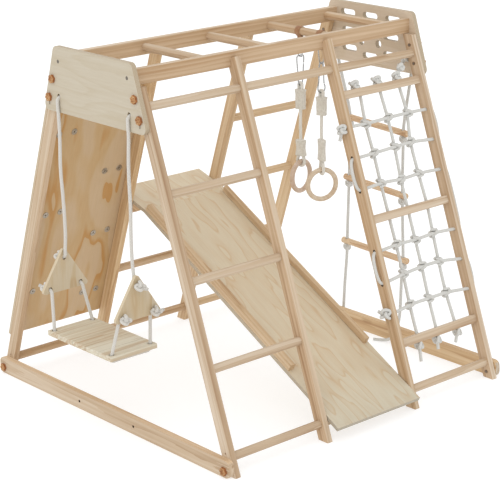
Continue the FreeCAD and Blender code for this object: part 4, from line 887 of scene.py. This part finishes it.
# snap hooks: the rear one is a pear with its wide end up, the front one ends in a round eye at the bottom
hookWire = {"diameter": 0.005, "middle": 1.1158}
hookShapes = {
    1: {"outline": [(0.0165, 0.026), (0.0178, 0.04), (0.0165, 0.0535), (0.008, 0.0562), (-0.008, 0.0562),
                    (-0.0165, 0.0535), (-0.0178, 0.04), (-0.0135, 0), (-0.0105, -0.04), (-0.0095, -0.0525),
                    (-0.005, -0.0562), (0.005, -0.0562), (0.0095, -0.0525), (0.0106, -0.04),
                    (0.0123, -0.026)],
        "gate": [(0.0162, 0.0231), (0.0144, 0), (0.0126, -0.0231)]},
    2: {"outline": [(0.0135, -0.0262), (0.0178, -0.0311), (0.0178, -0.0459), (0.0074, -0.0563),
                    (-0.0074, -0.0563), (-0.0178, -0.0459), (-0.0178, -0.0311), (-0.0138, -0.0165),
                    (-0.0128, 0), (-0.0128, 0.034), (-0.0095, 0.0515), (-0.004, 0.0562), (0.004, 0.0562),
                    (0.008, 0.0525), (0.0088, 0.04), (0.0104, 0.026)],
        "gate": [(0.0128, -0.0231), (0.011, 0), (0.0105, 0.0231)]},
}


def wirePiece(name, points, body, node):
    curve = lineCurve(name, 8)
    strand(curve, points)
    mesh = roundTube(curve, hookWire["diameter"], 3)
    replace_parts(stand(mesh, name, body, brightSteel), node)


for number, spec in ringSets.items():
    middle = Vector((ringRope["x"], spec["y"], hookWire["middle"] - spec["drop"]))
    shape = {key: [middle + Vector((out, 0, rise)) for out, rise in line]
             for key, line in hookShapes[number].items()}
    wirePiece(f"pear_hook_{number}", shape["outline"], f"ring_set_{number}", f"snap_hook_{number}")
    wirePiece(f"pear_gate_{number}", shape["gate"], f"gate_{number}", f"hook_gate_{number}")
print("hooks bent")

# turned star knobs on the bolts: two pairs on each end plate, one pair on each base rail
knob = {"radius": 0.0158, "thick": 0.009, "lobes": 6, "lobe": 0.1, "lobeFlat": 0.15, "face": 0.0075,
        "dish": 0.0016, "dishRim": 0.0012, "round": 0.0019, "segments": 48}
knobSpots = [(1.197, 0.66), (1.131, 0.66), (0.024, 0.664)]
knobWood = shaded(pine, "b2743f", "9c6033", "7c4623", ring=0.004, knots=0.0)
# painted light: the knobs' outward faces get a lighter palette
knobPaintedFace = shaded(knobWood, "cca16d", "ba8854", "966236")


def starKnob(target, place, out):
    bm = bmesh.new()
    circle = knob["radius"] * (1 - knob["lobe"])
    bmesh.ops.create_circle(bm, cap_ends=True, segments=knob["segments"], radius=circle)
    for vert in bm.verts:
        angle = knob["lobes"] * math.atan2(vert.co.y, vert.co.x)
        vert.co *= 1 + knob["lobe"] * (math.cos(angle) - knob["lobeFlat"] * math.cos(2 * angle))
    grown = bmesh.ops.extrude_face_region(bm, geom=list(bm.faces))["geom"]
    lifted = [part for part in grown if isinstance(part, bmesh.types.BMVert)]
    bmesh.ops.translate(bm, vec=(0, 0, knob["thick"]), verts=lifted)
    bmesh.ops.recalc_face_normals(bm, faces=bm.faces)
    top = [face for face in bm.faces if face.calc_center_median().z > knob["thick"] - 1e-5]
    bmesh.ops.inset_region(bm, faces=top, thickness=knob["face"])
    bmesh.ops.inset_region(bm, faces=top, thickness=knob["dishRim"], depth=-knob["dish"])
    rims = [edge for edge in bm.edges if edge.calc_face_angle(0) > 0.8
            and min(vert.co.z for vert in edge.verts) > knob["thick"] - 1e-4
            and max(vert.co.xy.length for vert in edge.verts) > knob["radius"] * 0.7]
    rounded(bm, rims, knob["round"], 3)
    turn = Matrix.Rotation(math.pi / 2 * out, 4, "Y") @ Matrix.Rotation(place[1] * 40, 4, "Z")
    gathered(target, bm, Matrix.Translation(place) @ turn)


allKnobs = bmesh.new()
for out in (-1, 1):
    for z, face in knobSpots:
        for side in (-1, 1):
            starKnob(allKnobs, (out * face, side * (lean["foot"] - lean["slope"] * z), z), out)
turnedWood = timber("knob_wood", knobWood, lengthwise, 40, paintedSide=knobPaintedFace)
knobs = stand(meshOf(allKnobs, "star_knobs"), "star_knobs", "frame", turnedWood, smooth=False)
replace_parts(knobs, "knob_nuts")
print("knobs turned")

# moulded climbing holds on the wall's rear face, three in each of two columns
grip = {"length": 0.116, "height": 0.058, "depth": 0.036, "fill": 0.96, "crown": 0.8, "bolts": 0.066,
        "back": 0.0121, "groove": (0.1, 0.45, 0.2), "recess": 0.0085,
        "recessFloor": 0.0195, "bore": 0.0055, "flare": 0.6}
gripGrit = {"grit": 620.0, "fleck": 260.0, "share": 0.5, "gloss": (0.5, 0.8), "relief": (0.5, 0.0006),
            "tones": [(0.25, "8f8a80"), (0.45, "b5afa3"), (0.8, "c9c3b6")]}
holdColumns = [(-0.538, 0.325, 0.3205), (-0.298, 0.259, 0.2585)]
holdSpots = [(x, low + step * gap, step + 3.5 * column)
             for step in range(3) for column, (x, low, gap) in enumerate(holdColumns)]


def moulded(name, look):
    material, tree, surface = bare(name, 0.62)
    spot = spotOn(tree)
    grit = cloudy(tree, spot, look["grit"], 3.0)
    fleck = put(tree, "TexVoronoi", {"Vector": spot, "Scale": look["fleck"]}).outputs["Distance"]
    tone = plus(tree, times(tree, fleck, look["share"]), times(tree, grit, look["share"]))
    tree.links.new(ramp(tree, tone, look["tones"]), surface.inputs["Base Color"])
    tree.links.new(spread(tree, grit, *look["gloss"]), surface.inputs["Roughness"])
    raised(tree, surface, grit, *look["relief"])
    return material


def onWall(x, z):
    return Vector((x, lean["wallFoot"] - lean["slope"] * z, z))


def facingOut(out):
    return axes(Vector((1, 0, 0)), out.cross(Vector((1, 0, 0))), out)


def mouldedHold(target, x, z, kind):
    deep, middle, wide = grip["groove"]
    bm = bmesh.new()
    bmesh.ops.create_icosphere(bm, subdivisions=4, radius=1)
    for vert in bm.verts:
        u, v, w = vert.co
        lump = 1 + 0.05 * math.sin(5 * u + kind) + 0.045 * math.sin(6 * v + 2 * kind)
        lump -= deep * math.exp(-((v - middle) / wide) ** 2)
        crown = max(w, 0.0) ** grip["crown"] * grip["depth"] * grip["fill"] * lump if w > 0 else 0.0
        vert.co = (u * grip["length"] / 2 * (1 + 0.05 * math.sin(3 * v + kind)),
                   v * grip["height"] / 2 * (1 + 0.06 * math.sin(2 * u + kind)), crown)
        for side in (-1, 1):
            reach = math.hypot(vert.co.x - side * grip["bolts"] / 2, vert.co.y)
            if w > 0 and reach < grip["recess"]:
                vert.co.z = min(vert.co.z, grip["recessFloor"] + grip["flare"] * max(reach - grip["bore"], 0))
    bmesh.ops.remove_doubles(bm, verts=bm.verts, dist=1e-6)
    bmesh.ops.recalc_face_normals(bm, faces=bm.faces)
    gathered(target, bm, Matrix.Translation(onWall(x, z) + wallOut * grip["back"]) @ facingOut(wallOut))


allHolds = bmesh.new()
for spot in holdSpots:
    mouldedHold(allHolds, *spot)
stoneGrey = moulded("stone_grey_moulding", gripGrit)
holds = stand(meshOf(allHolds, "moulded_holds"), "moulded_holds", "frame", stoneGrey)
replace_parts(holds, "climbing_holds")
print("holds moulded")

# flanged nuts of the holds on the wall's front face, with painted shade in the bore and the punched slots
flange = {"radius": 0.0125, "thick": 0.002, "round": 0.0008, "bore": 0.0026, "boreRim": 0.0012,
          "boreDepth": 0.0014, "boreShadeDepth": (0.00135, 0.0006), "shank": 0.004, "long": 0.03, "shankGap": 0.0001,
          "slotRing": 0.0078, "slots": 3, "slot": (0.0013, 0.0042, 0.0003)}


def drum(bm, radius, low, high, segments=32):
    made = bmesh.ops.create_cone(bm, cap_ends=True, segments=segments, radius1=radius, radius2=radius,
                                 depth=high - low)
    bmesh.ops.translate(bm, vec=(0, 0, (low + high) / 2), verts=made["verts"])


def flangedNut(target, seat):
    bm = bmesh.new()
    drum(bm, flange["radius"], 0, flange["thick"])
    rims = [edge for edge in bm.edges if min(vert.co.z for vert in edge.verts) > flange["thick"] - 1e-6]
    rounded(bm, rims, flange["round"], 2)
    top = [face for face in bm.faces if face.normal.z > 0.99]
    plain = flange["radius"] - flange["round"] - flange["bore"] - flange["boreRim"]
    bmesh.ops.inset_region(bm, faces=top, thickness=plain)
    bmesh.ops.inset_region(bm, faces=top, thickness=flange["boreRim"], depth=-flange["boreDepth"])
    drum(bm, flange["shank"], -flange["long"], -flange["shankGap"], 20)
    gathered(target, bm, seat)


# painted shade: a dark disc down in the bore and dark slivers on the slots
def paintedShadeMarks(target, seat):
    bm = bmesh.new()
    drum(bm, flange["bore"], *[flange["thick"] - depth for depth in flange["boreShadeDepth"]], 24)
    for slot in range(flange["slots"]):
        made = bmesh.ops.create_cube(bm, size=1)["verts"]
        bmesh.ops.scale(bm, vec=flange["slot"], verts=made)
        bmesh.ops.translate(bm, vec=(flange["slotRing"], 0, flange["thick"]), verts=made)
        spin = Matrix.Rotation(slot * 2 * math.pi / flange["slots"], 3, "Z")
        bmesh.ops.rotate(bm, cent=(0, 0, 0), matrix=spin, verts=made)
    gathered(target, bm, seat)


brightParts, shadeParts = bmesh.new(), bmesh.new()
for x, z, kind in holdSpots:
    for side in (-1, 1):
        front = onWall(x + side * grip["bolts"] / 2, z)
        seat = Matrix.Translation(front) @ facingOut(-wallOut) @ Matrix.Rotation(z * 9 + side, 4, "Z")
        flangedNut(brightParts, seat)
        paintedShadeMarks(shadeParts, seat)
for name, parts, finish in (("wall_flanges", brightParts, flangePlate),
                            ("wall_flange_painted_shade", shadeParts, boreShade)):
    piece = stand(meshOf(parts, name), name, "frame", finish, smooth=False)
    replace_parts(piece, "hold_bolts")
print("wall flanges set")

# pale floor and soft studio light
studio = {"sky": 1.05, "sun": 0.45, "sunFrom": (-4.0, -2.2, 5.0), "softness": 50, "floorGlow": 0.62,
          "floorShade": (0.46, 0.46, 0.46, 1), "floorSize": 14, "floorDrop": 0.0006}
white = (1, 1, 1, 1)
bm = bmesh.new()
bmesh.ops.create_grid(bm, x_segments=1, y_segments=1, size=studio["floorSize"])
mesh = meshOf(bm, "studio_floor")
floor = bpy.data.objects.new("studio_floor", mesh)
floor.location.z = -studio["floorDrop"]
scene.collection.objects.link(floor)
material, tree, surface = bare("pale_floor", 0.9, Specular_IOR_Level=0.1)
surface.inputs["Base Color"].default_value = studio["floorShade"]
surface.inputs["Emission Color"].default_value = white
surface.inputs["Emission Strength"].default_value = studio["floorGlow"]
mesh.materials.append(material)
world = bpy.data.worlds.new("studio")
world.use_nodes = True
world.node_tree.nodes["Background"].inputs["Color"].default_value = white
world.node_tree.nodes["Background"].inputs["Strength"].default_value = studio["sky"]
scene.world = world
light = bpy.data.lights.new("softSun", "SUN")
light.energy = studio["sun"]
light.angle = math.radians(studio["softness"])
lamp = bpy.data.objects.new("softSun", light)
lamp.location = studio["sunFrom"]
lamp.rotation_euler = Vector(studio["sunFrom"]).to_track_quat("Z", "Y").to_euler()
scene.collection.objects.link(lamp)
print("floor and light set")
